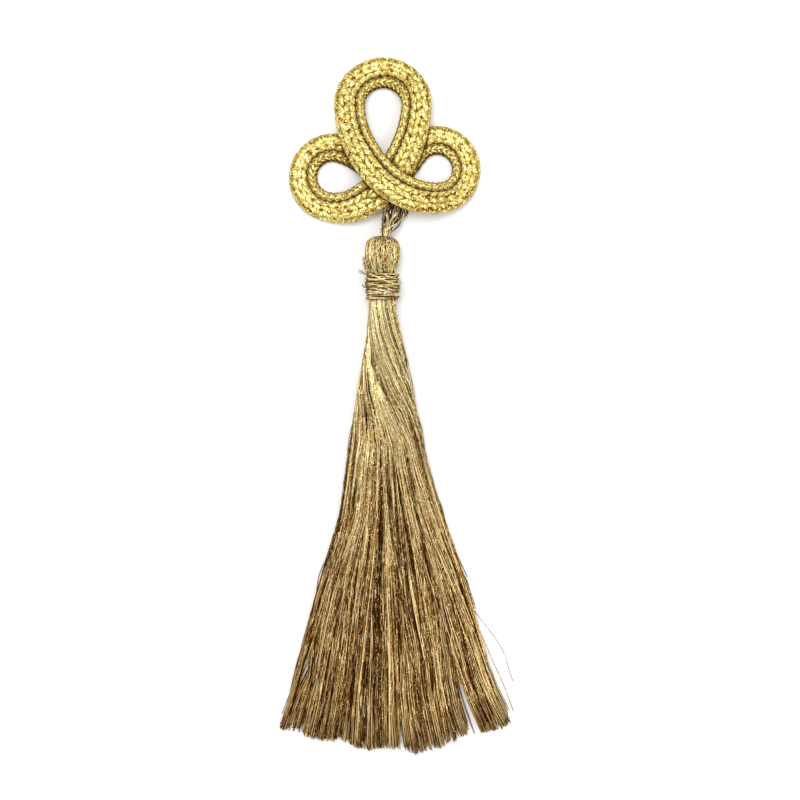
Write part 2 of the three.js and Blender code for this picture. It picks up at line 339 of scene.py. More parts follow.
# The cut ends that stand out of the binding, root and tip about the head's axis, and the strands of each
STRANDS_TO_AN_END = 5
LOOSE_ENDS = (
    ((-3.9, -11.0, 2.2), (-5.9, -6.3, 3.3)),
    ((-4.0, -11.1, 1.6), (-5.6, -7.8, 2.4)),
    ((-4.3, -11.2, 1.0), (-6.9, -9.9, 1.1)),
    ((4.2, -14.4, 1.4), (5.3, -13.3, 1.8)),
    ((4.1, -17.0, 1.3), (5.5, -15.2, 1.7)),
    ((-4.3, -15.0, 1.4), (-5.6, -14.3, 1.8)),
    ((-3.8, -17.0, 1.6), (-4.4, -18.4, 1.5)),
)

# Hanger: half widths of the first and last loops, and stations of a leg from the crown up, as the loop's
# middle, its share of the half width, and its height
HANGER_HALF_WIDTHS = (0.3, 3.4)
HANGER_LEG = (
    (-3.25, 47.4, 0.14, 5.0),
    (-3.05, 48.9, 0.2, 4.8),
    (-2.45, 50.2, 0.33, 4.3),
    (-1.0, 52.7, 0.74, 3.3),
    (-0.1, 55.4, 1, 2.2),
)

# The turn of the last loop, and how much lower each loop turns than the next in the solids, with their number
HANGER_TURN = (0.2, 59.6, 1.3)
HANGER_NEST = 0.85
SOLID_LOOPS = 4

# How far its threads stray each way, the height from the dullest to the palest, and where its shadows start
# and how far they go: under the braid by y, on its left by minus x, and the top of that one by y
HANGER_SPREAD = (0.45, 0.25, 0.3)
HANGER_DEPTH = 1.2
HANGER_SHADOW = (53.0, 3.5)
HANGER_LEFT = (2.9, 0.7)
HANGER_LEFT_TOP = (50.5, 2.0)

# Two threads that bow out at the sides
HANGER_STRAYS = (
    ((-3.2, 56.4, 2.0), (-3.8, 55.2, 2.2), (-4.25, 52.4, 3.0), (-3.5, 49.4, 4.4)),
    ((2.6, 55.6, 2.2), (0.9, 51.3, 3.4), (-0.9, 49.4, 4.4), (-2.5, 48.3, 4.9)),
)

# The photo's frame: the point of the table under the camera, and half the width that it sees there.
VIEW_CENTRE = (1.154, 1.01)
VIEW_HALF_WIDTH = 115.44

# Floor and lights, in metres: the floor's reach each way and its lines, and each light's place, turn, size
# and share of the key light's power
FLOOR_REACH = 1.5
FLOOR_LINES = 13
LIGHTS = {
    "key_light": ((-0.12, 0.24, 1.0), (-0.236, -0.117, 0.0), 0.45, 1.0),
    "side_light": ((0.5, -0.2, 0.8), (0.245, 0.545, 0.0), 0.35, 0.25),
}


# Curves and tables


def smooth(x):
    """Eased step: 0 up to x = 0, 1 from x = 1, and x squared times (3 - 2x) between."""
    x = np.clip(x, 0.0, 1.0)
    return x * x * (3.0 - 2.0 * x)


def past(x, start, reach):
    """How far x is past a start: an eased step over the reach."""
    return smooth((x - start) / reach)


def unit(vectors):
    """Vectors divided by their lengths."""
    return vectors / np.maximum(np.linalg.norm(vectors, axis=-1, keepdims=True), 1e-12)


def eased(at, knots, values):
    """Values at knots, joined by eased steps."""
    right = np.clip(np.searchsorted(knots, at), 1, len(knots) - 1)
    left = right - 1
    share = past(at, knots[left], knots[right] - knots[left])
    return values[left] + (values[right] - values[left]) * share


def faired(at, knots, values):
    """Values at knots, joined by cubic curves whose slope at a knot is that between its neighbours."""
    slopes = np.gradient(values, knots)
    right = np.clip(np.searchsorted(knots, at), 1, len(knots) - 1)
    left = right - 1
    span = knots[right] - knots[left]
    t = (at - knots[left]) / span
    start = (1 + 2 * t) * (1 - t) ** 2 * values[left] + t * (1 - t) ** 2 * span * slopes[left]
    end = t * t * (3 - 2 * t) * values[right] - t * t * (1 - t) * span * slopes[right]
    return start + end


def spline(points, steps):
    """Catmull-Rom curves through rows of points (curves, points, axes), at even steps from end to end."""
    count = points.shape[1]
    first = 2 * points[:, :1] - points[:, 1:2]
    last = 2 * points[:, -1:] - points[:, -2:-1]
    padded = np.concatenate([first, points, last], axis=1)
    at = np.linspace(0, count - 1, steps)
    k = np.minimum(at.astype(int), count - 2)
    t = (at - k)[None, :, None]
    a, b, c, d = (padded[:, k + i] for i in range(4))
    bend = 2 * b + (c - a) * t + (2 * a - 5 * b + 4 * c - d) * t**2 + (3 * b - a - 3 * c + d) * t**3
    return bend / 2


def closed_outline(points, samples=800):
    """Closed Catmull-Rom curve through points at even steps of its length, and its normals to the left."""
    points = np.array(points)
    ring = np.concatenate([points[-1:], points, points[:2]])[None]
    steps = 40
    curve = spline(ring, steps * (len(points) + 2) + 1)[0][steps:-steps]
    way = np.concatenate([[0], np.cumsum(np.linalg.norm(np.diff(curve, axis=0), axis=1))])
    at = np.linspace(0, way[-1], samples)
    line = np.stack([np.interp(at, way, curve[:, i]) for i in range(2)], axis=1)
    ahead = unit(np.roll(line[:-1], -1, axis=0) - np.roll(line[:-1], 1, axis=0))
    ahead = np.concatenate([ahead, ahead[:1]])
    return line, np.stack([-ahead[:, 1], ahead[:, 0]], axis=1)


def on_outline(share, line, normals):
    """Points and normals of a closed outline at shares of the way round."""
    at = np.linspace(0, 1, len(line))
    share = share % 1.0
    place = [np.interp(share, at, line[:, i]) for i in range(2)]
    out = [np.interp(share, at, normals[:, i]) for i in range(2)]
    return place[0], place[1], out[0], out[1]


# Meshes


def tubes(name, rings, along, tone=0.5, shade=1.0):
    """Object of closed tubes through rings of points, as an array of tubes, rings, sides and axes, in metres.

    The map "strand" holds the share of the way round and the distance along, in millimetres. The attribute
    "tone" is a number of the tube's own, and "shade" is how open to the light a point lies, both from 0 to 1,
    as arrays that fit tubes, rings and sides. The finishes darken a colour by its shade: painted shade, which
    also makes some threads darker at random.
    """
    count, steps, sides, _ = rings.shape
    corner = np.arange(count * steps * sides).reshape(count, steps, sides)
    beside = np.roll(corner, -1, axis=2)
    quads = np.stack([corner[:, :-1], beside[:, :-1], beside[:, 1:], corner[:, 1:]], axis=-1)
    quad_count = quads.size // 4
    loops = np.concatenate([quads.ravel(), corner[:, 0, ::-1].ravel(), corner[:, -1].ravel()])
    starts = np.concatenate([np.arange(quad_count) * 4, quad_count * 4 + np.arange(2 * count) * sides])

    around = np.arange(sides) / sides
    u = np.broadcast_to(np.stack([around, around + 1 / sides] * 2, axis=-1)[:, [0, 1, 3, 2]], quads.shape)
    v = np.stack([along[:, :-1], along[:, :-1], along[:, 1:], along[:, 1:]], axis=-1)[:, :, None, :]
    quad_map = np.stack([u, np.broadcast_to(v, quads.shape)], axis=-1).reshape(-1, 2)
    first = np.stack(np.broadcast_arrays(around[::-1], along[:, :1]), axis=-1).reshape(-1, 2)
    last = np.stack(np.broadcast_arrays(around, along[:, -1:]), axis=-1).reshape(-1, 2)

    mesh = bpy.data.meshes.new(name)
    mesh.vertices.add(corner.size)
    mesh.vertices.foreach_set("co", rings.astype(np.float32).ravel())
    mesh.loops.add(loops.size)
    mesh.loops.foreach_set("vertex_index", loops.astype(np.int32))
    mesh.polygons.add(starts.size)
    mesh.polygons.foreach_set("loop_start", starts.astype(np.int32))
    mesh.polygons.foreach_set("use_smooth", np.ones(starts.size, dtype=bool))
    strand = mesh.uv_layers.new(name="strand")
    strand.uv.foreach_set("vector", np.concatenate([quad_map, first, last]).astype(np.float32).ravel())
    for mark, values in (("tone", tone), ("shade", shade)):
        spread = np.broadcast_to(values, corner.shape).ravel()
        mesh.attributes.new(mark, "FLOAT", "POINT").data.foreach_set("value", spread.astype(np.float32))
    mesh.update(calc_edges=True)
    if mesh.validate():
        raise RuntimeError(f"{name} has faces that can't be used")
    made = bpy.data.objects.new(name, mesh)
    bpy.context.scene.collection.objects.link(made)
    return made


def strands(name, paths, outward, half_width, half_height, sides, tone, shade=1.0, twist=0.0):
    """Object of threads that follow many paths at once, given in millimetres as strands, steps and axes.

    A point of a thread is its path, plus the half width times the cosine of its angle to the side, plus the
    half height times the sine outward. The side is square to the way ahead and to the outward direction, and
    twist turns the angle along the thread.
    """
    ahead = unit(np.gradient(paths, axis=1))
    side = unit(np.cross(np.broadcast_to(outward, paths.shape), ahead))
    out = np.cross(ahead, side)
    shape = paths.shape[:2]
    angle = 2 * pi * np.arange(sides) / sides
    across = (np.broadcast_to(half_width, shape)[..., None] * np.cos(angle))[..., None]
    upward = (np.broadcast_to(half_height, shape)[..., None] * np.sin(angle))[..., None]
    turn = np.broadcast_to(twist, shape)[..., None, None]
    turned_across = across * np.cos(turn) - upward * np.sin(turn)
    turned_upward = across * np.sin(turn) + upward * np.cos(turn)
    rings = paths[:, :, None] + turned_across * side[:, :, None] + turned_upward * out[:, :, None]
    stride = np.linalg.norm(np.diff(paths, axis=1), axis=2)
    along = np.concatenate([np.zeros((shape[0], 1)), np.cumsum(stride, axis=1)], axis=1)
    shade = np.asarray(shade)
    return tubes(name, rings * MM, along, tone[..., None], shade if shade.ndim != 2 else shade[..., None])


# Finishes


# Multiples of a strand's tone in its noises, so that no two strands share a pattern
KINK_SPREAD = 173.0
SLOW_SPREAD = 91.0
GLINT_SPREAD = 57.0

# Metal thread: its share of bare metal, its roughness when dull, what its shine takes off that, what full
# shade takes off its shine, the depth of its bumps in metres, and its gloss
BARE_METAL = 0.55
DULL_ROUGHNESS = 0.54
SHINE_POLISH = 0.18
SHADE_DEPTH = 0.85
THREAD_BUMP = 0.0001
THREAD_GLOSS = {"Specular IOR Level": 0.03, "Specular Tint": (0.92, 0.66, 0.24, 1.0)}

# Glints: the noise over which they show, their length in millimetres, and how much smoother their threads and
# they themselves are
GLINT_RARE = 0.64
GLINT_LENGTH = 0.4
GLINT_POLISH = 0.16
SHEEN_POLISH = 0.1

# Fade from neck to hem: where it starts on the y axis and how far it goes, in metres, and what it takes off
# the grain
FADE_TOP = 0.03
FADE_LENGTH = 0.09
HEM_CALM = 0.6


class Value:
    """A socket that takes part in Python sums. Each operator adds a Math node."""

    def __init__(self, finish, socket):
        self.finish = finish
        self.socket = socket

    def math(self, operation, first, second=0.0):
        return self.finish.node("ShaderNodeMath", {"operation": operation}, {0: first, 1: second})

    def __add__(self, other):
        return self.math("ADD", self, other)

    def __radd__(self, other):
        return self.math("ADD", other, self)

    def __sub__(self, other):
        return self.math("SUBTRACT", self, other)

    def __rsub__(self, other):
        return self.math("SUBTRACT", other, self)

    def __mul__(self, other):
        return self.math("MULTIPLY", self, other)

    def __truediv__(self, other):
        return self.math("DIVIDE", self, other)

    def sine(self):
        return self.math("SINE", self)

    def clamped(self):
        return self.math("MINIMUM", self.math("MAXIMUM", self, 0.0), 1.0)


class Finish:
    """A material and its nodes."""

    def __init__(self, name):
        self.material = bpy.data.materials.new(name)
        self.material.use_nodes = True
        self.tree = self.material.node_tree
        self.tree.nodes.clear()

    def node(self, kind, settings=None, inputs=None, output=0):
        """A node of that kind: its settings first, then its sockets' values or links. Gives one output."""
        made = self.tree.nodes.new(kind)
        for key, value in (settings or {}).items():
            setattr(made, key, value)
        for key, value in (inputs or {}).items():
            if isinstance(value, Value):
                self.tree.links.new(value.socket, made.inputs[key])
            else:
                made.inputs[key].default_value = value
        return Value(self, made.outputs[output])

    def split(self, vector):
        """The three parts of a vector."""
        parts = self.node("ShaderNodeSeparateXYZ", inputs={0: vector}).socket.node
        return [Value(self, socket) for socket in parts.outputs]

    def place(self):
        """The x, y and z of a point of the piece, in metres."""
        return self.split(self.node("ShaderNodeTexCoord", output=3))

    def strand(self):
        """The share of the way round a strand, the millimetres along it, its tone and its shade."""
        around, along, _ = self.split(self.node("ShaderNodeUVMap", {"uv_map": "strand"}))
        tone = self.node("ShaderNodeAttribute", {"attribute_name": "tone"}, output=2)
        shade = self.node("ShaderNodeAttribute", {"attribute_name": "shade"}, output=2)
        return around, along, tone, shade

    def noise(self, x, y, z, detail=2.0):
        """Soft noise about 0.5 over three coordinates."""
        vector = self.node("ShaderNodeCombineXYZ", inputs={0: x, 1: y, 2: z})
        return self.node("ShaderNodeTexNoise", inputs={"Vector": vector, "Scale": 1.0, "Detail": detail})

    def blend(self, share, first, second, way="MIX"):
        """A colour between two others, or as much of the blend of that way."""
        settings = {"data_type": "RGBA", "blend_type": way}
        return self.node("ShaderNodeMix", settings, {0: share, 6: first, 7: second}, output=2)

    def ramp(self, share, stops):
        """A colour between stops that lie at even steps from 0 to 1."""
        made = self.node("ShaderNodeValToRGB", inputs={0: share})
        elements = made.socket.node.color_ramp.elements
        elements[0].color = stops[0]
        elements[1].color = stops[-1]
        for index, stop in enumerate(stops[1:-1], 1):
            elements.new(index / (len(stops) - 1)).color = stop
        return made

    def done(self, base, roughness, bump, depth, others):
        """Joins the surface: colour, roughness, a bump depth metres high, and the shader's other inputs."""
        normal = self.node("ShaderNodeBump", inputs={"Strength": 1.0, "Distance": depth, "Height": bump})
        inputs = {"Base Color": base, "Roughness": roughness, "Normal": normal, **others}
        surface = self.node("ShaderNodeBsdfPrincipled", inputs=inputs)
        output = self.tree.nodes.new("ShaderNodeOutputMaterial")
        self.tree.links.new(surface.socket, output.inputs[0])
        return self.material


def colour(rgb):
    """A colour property as the four numbers of a colour socket."""
    return (*rgb, 1.0)


def metal_finish(
    name,
    settings,
    level,
    contrast,
    drift,
    run,
    kink,
    gleam,
    plies,
    round_shading,
    rare=0.53,
    grain=0.6,
    glints=0.0,
    slack=0.0,
    fade=0.0,
    tint=(1.0, 1.0, 1.0),
):
    """Metallic thread, whose shine goes from dark through dull to bright in five colours.

    The shine is its level, plus the strand's own tone, contrast strong, plus a slow noise run millimetres
    long, drift strong, plus painted glints: sparks kink millimetres long and plies to the way round, gleam
    strong, plus a painted shading of the strand's round form, lightest on its outward side. It falls with
    the painted shade. A spark shows where a noise is over rare, all of that noise counts grain strong as a
    speckle of painted glitter, light and dark, and slack makes it longer with the distance along. The same
    noise bumps the surface. Glints are rare sparks of bare metal: there the metal is barer and smoother and
    the colour is brightened as a painted highlight, and threads that have them are smoother. Where there is
    a fade, the shine falls by it from the neck down to the hem, the grain grows calmer, and the colour is
    multiplied by the tint.
    """
    finish = Finish(name)
    around, along, tone, shade = finish.strand()
    stretched = along * (1 - along * slack) if slack else along
    kinks_and_sparkle = finish.noise(around * plies, stretched / kink, tone * KINK_SPREAD, 1.0)
    slow = finish.noise(around * 0.4, along / run, tone * SLOW_SPREAD, 1.0)
    speckle = (kinks_and_sparkle - 0.5) * grain
    if fade:
        _, y, _ = finish.place()
        lower = ((FADE_TOP - y) / FADE_LENGTH).clamped()
        speckle = speckle * (1 - lower * HEM_CALM)
    # Sparks and the speckle are painted glints in the colour
    sparks = (kinks_and_sparkle - rare).clamped() * gleam + speckle
    metallic = BARE_METAL
    # Glints: bare, smoother metal, whose colour is also brightened as a painted highlight
    if glints:
        flecks = finish.noise(around, along / GLINT_LENGTH, tone * GLINT_SPREAD, 0.0)
        sheen = ((flecks - GLINT_RARE).clamped() * glints).clamped() * shade
        sparks = sparks + sheen
        metallic = BARE_METAL + sheen * (1 - BARE_METAL)
    # Painted shading of the strand's round form: lighter on its outward side, darker on its sides
    round_shade = ((around * (2 * pi)).sine() - 0.4) * round_shading
    own = (tone - 0.5) * contrast + (slow - 0.5) * drift + sparks + round_shade
    # The painted shade darkens the shine
    shine = own + level + (shade - 1) * SHADE_DEPTH
    if fade:
        shine = shine - lower * fade
    shine = shine.clamped()

    dark, dull, bright = (np.array(rgb) for rgb in (settings.dark, settings.dull, settings.bright))
    stops = (dark, np.sqrt(dark * dull), dull, np.sqrt(dull * bright), bright)
    base = finish.ramp(shine, [colour(stop) for stop in stops])
    if fade:
        base = finish.blend(lower, base, colour(tint), "MULTIPLY")
    if glints:
        roughness = DULL_ROUGHNESS - GLINT_POLISH - shine * SHINE_POLISH - sheen * SHEEN_POLISH
    else:
        roughness = DULL_ROUGHNESS - shine * SHINE_POLISH
    return finish.done(base, roughness, kinks_and_sparkle, THREAD_BUMP, {"Metallic": metallic, **THREAD_GLOSS})


def mottled_finish(name, ground, darker, scale, roughness, rougher, depth, others):
    """Plain ground with a soft mottle, whose dark parts are a darker share of its colour."""
    finish = Finish(name)
    x, y, z = finish.place()
    mottle = finish.noise(x * scale, y * scale, z * scale)
    base = finish.blend(mottle, colour(tuple(darker * part for part in ground)), colour(ground))
    return finish.done(base, roughness + mottle * rougher, mottle, depth, others)


def core_finish(name, ground):
    """Dull ground of an inner filling, mottled: painted shade where a gap between the yarns shows it."""
    return mottled_finish(
        name,
        ground,
        darker=0.5,
        scale=900.0,
        roughness=0.6,
        rougher=0.2,
        depth=0.0001,
        others={"Metallic": 0.3},
    )


def floor_finish(name, pale):
    """Pale matt board with a faint mottle."""
    return mottled_finish(
        name,
        pale,
        darker=0.985,
        scale=60.0,
        roughness=0.8,
        rougher=0.1,
        depth=0.00001,
        others={"Specular IOR Level": 0.2},
    )


# Braid


def heading(degrees):
    """The way ahead at an angle from the x axis."""
    return np.array([cos(radians(degrees)), sin(radians(degrees))])


def on_loop(name, which):
    """A loop's first or last point and the heading there, which is a quarter turn on from the angle."""
    x, y, radius, *ends = LOOPS[name]
    return np.array([x, y]) + radius * heading(ends[which]), ends[which] + 90


def loop_arc(name):
    """A loop's circle from its first angle to its last."""
    x, y, radius, first, last = LOOPS[name]
    angle = np.radians(np.linspace(first, last, ROUTE_SAMPLES))
    return np.stack([x + radius * np.cos(angle), y + radius * np.sin(angle)], axis=1)


def link(start, end):
    """Cubic Bezier curve from a point and heading to another, with handles of LINK_PULL of the distance."""
    (a, leaving), (d, arriving) = start, end
    a = np.array(a)
    d = np.array(d)
    pull = LINK_PULL * np.linalg.norm(d - a)
    b = a + pull * heading(leaving)
    c = d - pull * heading(arriving)
    t = np.linspace(0, 1, ROUTE_SAMPLES)[:, None]
    return (1 - t) ** 3 * a + 3 * (1 - t) ** 2 * t * b + 3 * (1 - t) * t**2 * c + t**3 * d


class BraidRoute:
    """The braid's middle line: tail, left loop, rise, top loop, fall over the rise, right loop and tail."""

    def __init__(self):
        pieces = {
            "left_tail": link(LEFT_TAIL, on_loop("left", 0)),
            "left_loop": loop_arc("left"),
            "rise": link(on_loop("left", 1), on_loop("top", 0)),
            "top_loop": loop_arc("top"),
            "fall": link(on_loop("top", 1), on_loop("right", 0)),
            "right_loop": loop_arc("right"),
            "right_tail": link(on_loop("right", 1), RIGHT_TAIL),
        }
        starts = {}
        lengths = {}
        total = 0.0
        for name, line in pieces.items():
            starts[name] = total
            lengths[name] = np.linalg.norm(np.diff(line, axis=0), axis=1).sum()
            total += lengths[name]
        line = np.concatenate([part[:-1] for part in pieces.values()] + [RIGHT_TAIL[:1]])
        stride = np.linalg.norm(np.diff(line, axis=0), axis=1)
        self.way = np.concatenate([[0], np.cumsum(stride)])
        self.line = line
        self.length = self.way[-1]
        self.knots = np.array([starts[row[0]] + row[1] * lengths[row[0]] for row in BRAID_STATIONS])
        self.layers = np.array([row[2] for row in BRAID_STATIONS], dtype=float)
        self.widths = np.array([row[3] for row in BRAID_STATIONS])
        self.grooves = np.array([row[4] for row in BRAID_STATIONS])

    def at(self, way):
        """Point, way ahead, left-hand bend, lift and width at distances along the route."""
        x = np.interp(way, self.way, self.line[:, 0])
        y = np.interp(way, self.way, self.line[:, 1])
        ahead = unit(np.stack([np.gradient(x), np.gradient(y)], axis=-1))
        turn = np.unwrap(np.arctan2(ahead[:, 1], ahead[:, 0]))
        bend = np.gradient(turn, way)
        lift = LAYER * eased(way, self.knots, self.layers)
        return x, y, ahead, bend, lift, eased(way, self.knots, self.widths)


def on_braid(route, way, across, height):
    """Places of a section carried along the route, where across is to the left and scales with the width.

    Each channel is first stretched or squeezed between its edge and the groove's place there.
    """
    x, y, ahead, _, lift, width = route.at(way)
    groove = eased(way, route.knots, route.grooves)
    outer = OUTER_EDGE + (across - OUTER_EDGE) * (groove - OUTER_EDGE) / (GROOVE - OUTER_EDGE)
    inner = INNER_EDGE - (INNER_EDGE - across) * (INNER_EDGE - groove) / (INNER_EDGE - GROOVE)
    reach = np.where(across < GROOVE, outer, inner) * width / NOMINAL_WIDTH
    return np.stack([x - ahead[:, 1] * reach, y + ahead[:, 0] * reach, lift + height], axis=-1)


def in_groove(across):
    """How near places across the braid are to the groove: a bell of GROOVE_BELL about it."""
    return np.exp(-(((across - GROOVE) / GROOVE_BELL) ** 2))


def braid_yarns(name, settings, channel, turn):
    """The yarns of one lay of a channel of the braid.

    A yarn goes round the channel once in each lay length, so its share of the way round is its distance over
    the lay plus its own start. It rides over two yarns of the other lay and under the next two: its height is
    a squared-off cosine of that share, four crossings long, and the other lay has the opposite height. So the
    floats stand in columns along the braid, leaning one way and the other by turns.
    """
    wide = channel == "wide"
    route = BraidRoute()
    count = settings.yarns if wide else settings.inner_yarns
    lay = (settings.lay if wide else settings.inner_lay) / MM
    width = (settings.yarn_width if wide else settings.inner_width) / MM
    sides = YARN_SIDES[channel]
    way = np.linspace(0, route.length, int(route.length * MM / settings.step))
    rng = np.random.default_rng(11 + turn)
    sway = YARN_SWAY * np.sin(2 * pi * (way / YARN_SWAY_RUN + rng.random((count, 1))))
    share = turn * way / lay + np.arange(count)[:, None] / count + sway
    outline = closed_outline(WIDE_CHANNEL if wide else NARROW_CHANNEL)
    girth = np.linalg.norm(np.diff(outline[0], axis=0), axis=1).sum()
    across, height, out_across, out_up = on_outline(share, *outline)
    wave = turn * np.cos(pi * count * share)
    rise = settings.wave / MM * (1 - 0.6 * in_groove(across))
    lifted = rise * np.tanh(RISE_SQUARENESS * wave) / tanh(RISE_SQUARENESS)
    paths = on_braid(route, way, across + lifted * out_across, height + lifted * out_up)
    _, _, ahead, bend, lift, _ = route.at(way)
    outward = np.stack([-ahead[:, 1] * out_across, ahead[:, 0] * out_across, out_up], axis=-1)
    half = width / 2 * np.clip(1 - bend * across, 0.45, 1.6) ** 0.6

    lean = lay / np.hypot(lay, girth)
    angle = 2 * pi * np.arange(sides) / sides
    place = share[..., None] + lean * half[..., None] * np.cos(angle) / girth
    # Painted shade and shadow: the valleys, the groove, the edges and the shadows of layers above darken the
    # colour
    facing = np.clip(-ahead[:, :1], 0, 1)
    shade = braid_shade(place, wave[..., None], turn * count, outline, VALLEY_SHADE[channel], facing)
    shade = shade * (1 - 0.95 * under_layers(route, way, lift, paths))[..., None]
    tall = settings.yarn_thickness / MM / 2
    return strands(name, paths, outward, half, tall, sides, rng.random((count, 1)), shade)


def braid_shade(share, wave, beat, outline, depth, facing):
    """How open points of the braid lie, by their share of the way round and the wave of their yarn's middle.

    It is 1, less painted shade in a valley between the columns of floats, where a mean of the middle's wave
    and the point's own is low, less painted shade in the groove between the channels, and less painted shade
    at the outer and inner edges. The valleys are shallower near the outer edge. The inner edge is darkest
    where it faces minus y, at the top of a loop's opening, away from the key light.
    """
    across, _, _, _ = on_outline(share, *outline)
    mixed = 0.35 * wave + 0.65 * np.sign(beat) * np.cos(pi * beat * share)
    valley = depth * smooth((0.3 - mixed) / 0.4) * (1 - 0.7 * past(-across, 2.9, 0.8))
    inner = past(across, 3.2, 0.6) * (0.35 + 0.6 * facing)
    outer = past(-across, 3.7, 0.4) * 0.15
    return np.clip(1 - valley - GROOVE_SHADE * in_groove(across) - inner - outer, 0, 1)


def under_layers(route, way, lift, places):
    """How much places lie in the shadow of a layer of braid above: 1 at its edge, and a bell beyond it."""
    at = np.arange(0, route.length, 1.0)
    x, y, _, _, above, width = route.at(at)
    gap = np.hypot(places[..., None, 0] - x, places[..., None, 1] - y) - SHADOW_EDGE * width
    casts = (above > lift[:, None] + SHADOW_LIFT) & (np.abs(at - way[:, None]) > SHADOW_WAY)
    gap = np.where(casts, gap, 9.0).min(axis=-1)
    return np.exp(-((np.maximum(gap, 0) / SHADOW_REACH) ** 2))


def braid_core(name):
    """Filling under the yarns: each channel's line, drawn in by FILLING_INSET and carried along the route.

    A third line is a dark strip at the bottom of the groove between the channels: painted shadow.
    """
    route = BraidRoute()
    way = np.linspace(0, route.length, 360)
    share = np.linspace(1, 0, 24, endpoint=False)
    sections = []
    for channel in (WIDE_CHANNEL, NARROW_CHANNEL):
        across, height, out_across, out_up = on_outline(share, *closed_outline(channel))
        sections.append((across - FILLING_INSET * out_across, height - FILLING_INSET * out_up))
    angle = -2 * pi * share
    middle, half_width, half_height = GROOVE_SHADOW_STRIP
    sections.append((GROOVE - half_width * np.cos(angle), middle + half_height * np.sin(angle)))
    rings = [[on_braid(route, way, a, h) for a, h in zip(*section)] for section in sections]
    rings = np.array(rings).swapaxes(1, 2)
    return tubes(name, rings * MM, np.tile(way, (len(sections), 1)))


# Tassel


def in_tassel(x, drop, z):
    """Places in the whole part's frame from the tassel's own x, drop below the crown and height."""
    x, drop, z = np.broadcast_arrays(x, drop, z)
    return np.stack([TASSEL_PLACE[0] + x, TASSEL_PLACE[1] - drop, z], axis=-1)


def round_head(radius, angle, drop):
    """Places about the head's axis, at an angle from straight up, turning to the right."""
    return in_tassel(radius * np.sin(angle), drop, HEAD_AXIS_Z + radius * np.cos(angle))


def head_line(steps):
    """Drops and radii of the head's profile from the crown to under the binding, at even steps."""
    profile = spline(np.array(HEAD)[None], 300)[0]
    way = np.concatenate([[0], np.cumsum(np.linalg.norm(np.diff(profile, axis=0), axis=1))])
    at = np.linspace(0, way[-1], steps)
    return np.interp(at, way, profile[:, 0]), np.interp(at, way, profile[:, 1])


def head_threads(name, settings):
    """Threads doubled over the crown: the head's profile at many angles, each swaying as it goes down.

    They are darker with painted shade where they lie deeper, at the crown and under the binding, and some are
    dark all the way.
    """
    rng = np.random.default_rng(3)
    count = settings.head_threads
    drop, radius = head_line(20)
    angle = 2 * pi * (np.arange(count) + rng.uniform(-0.4, 0.4, count))[:, None] / count
    share = np.linspace(0, 1, len(drop))
    sway = rng.normal(0, HEAD_SWAY, (count, 1)) * np.sin(2 * pi * (share + rng.random((count, 1))))
    proud = rng.uniform(*HEAD_DEPTHS, (count, 1))
    proud = proud + 0.05 * np.sin(2 * pi * (3 * share + rng.random((count, 1))))
    half = settings.thread_width / MM / 2 * rng.uniform(0.8, 1.3, (count, 1))
    paths = round_head(radius + proud, angle + sway, drop)
    paths[..., 2] = np.maximum(paths[..., 2], half)
    parts = np.sin(angle + sway), 0.35 * (1 - share) ** 6, np.cos(angle + sway)
    outward = np.stack(np.broadcast_arrays(*parts), axis=-1)
    # Painted shade: deeper threads, the crown and the neck under the binding are darker
    at_crown = 0.5 * (1 - smooth(drop / 2.2))
    at_neck = 0.25 * past(drop, 8.5, 2)
    shade = np.clip(1.25 + 0.9 * proud - at_crown - at_neck, 0, 1)
    dark_ones = rng.random((count, 1)) < DARK_HEAD_THREADS
    shade = shade * np.where(dark_ones, 0.5, 1.0)
    twist = rng.uniform(0, pi, (count, 1))
    return strands(name, paths, outward, half, 0.7 * half, 3, rng.random((count, 1)), shade, twist)


def head_core(name):
    """Inside of the head: its profile, drawn in by HEAD_INSET and a little lower, turned about the axis."""
    drop, radius = head_line(40)
    angle = -np.linspace(0, 2 * pi, 32, endpoint=False)
    inner = np.maximum(radius - HEAD_INSET, 0.1)
    rings = round_head(inner[:, None], angle[None], drop[:, None] + 0.15)[None]
    return tubes(name, rings * MM, drop[None])


def skirt_table(share):
    """Middle, half width, lowest and top heights of the skirt at shares of its length."""
    table = np.array(SKIRT, dtype=float).T
    return [faired(share, table[0], column) for column in table[1:]]


def aside(across, at, left, right, reach):
    """How far an opening across the fan moves threads: to their own side of it, less with distance."""
    near = np.maximum(0, 1 - np.abs(across - at) / reach)
    return np.where(across < at, -left, right) * near


def parted(across, share):
    """How far the openings of the skirt push a thread aside at shares of its length.

    A parting opens evenly from its start to the hem. The slit opens and closes again as half a sine.
    """
    shift = 0.0
    for at, opens, left, right, reach in PARTINGS:
        shift = shift + aside(across, at, left, right, reach) * np.clip((share - opens) / (1 - opens), 0, 1)
    at, opens, closes, left, right, reach = SLIT
    bulge = np.sin(pi * np.clip((share - opens) / (closes - opens), 0, 1))
    return shift + aside(across, at, left, right, reach) * bulge


def in_gaps(x, share):
    """How deep places lie in the gaps between the locks: a bell about each gap's line, eased at its ends."""
    middle, half, _, _ = skirt_table(share)
    depth = 0.0
    for first, start, last, end, strength in GAPS:
        line = middle + half * (first + (last - first) * (share - start) / (end - start))
        ends = past(share, start, GAP_ENDS) * smooth((end - share) / GAP_ENDS)
        depth = depth + strength * ends * np.exp(-(((x - line) / GAP_BELL) ** 2))
    return np.minimum(depth, 1)


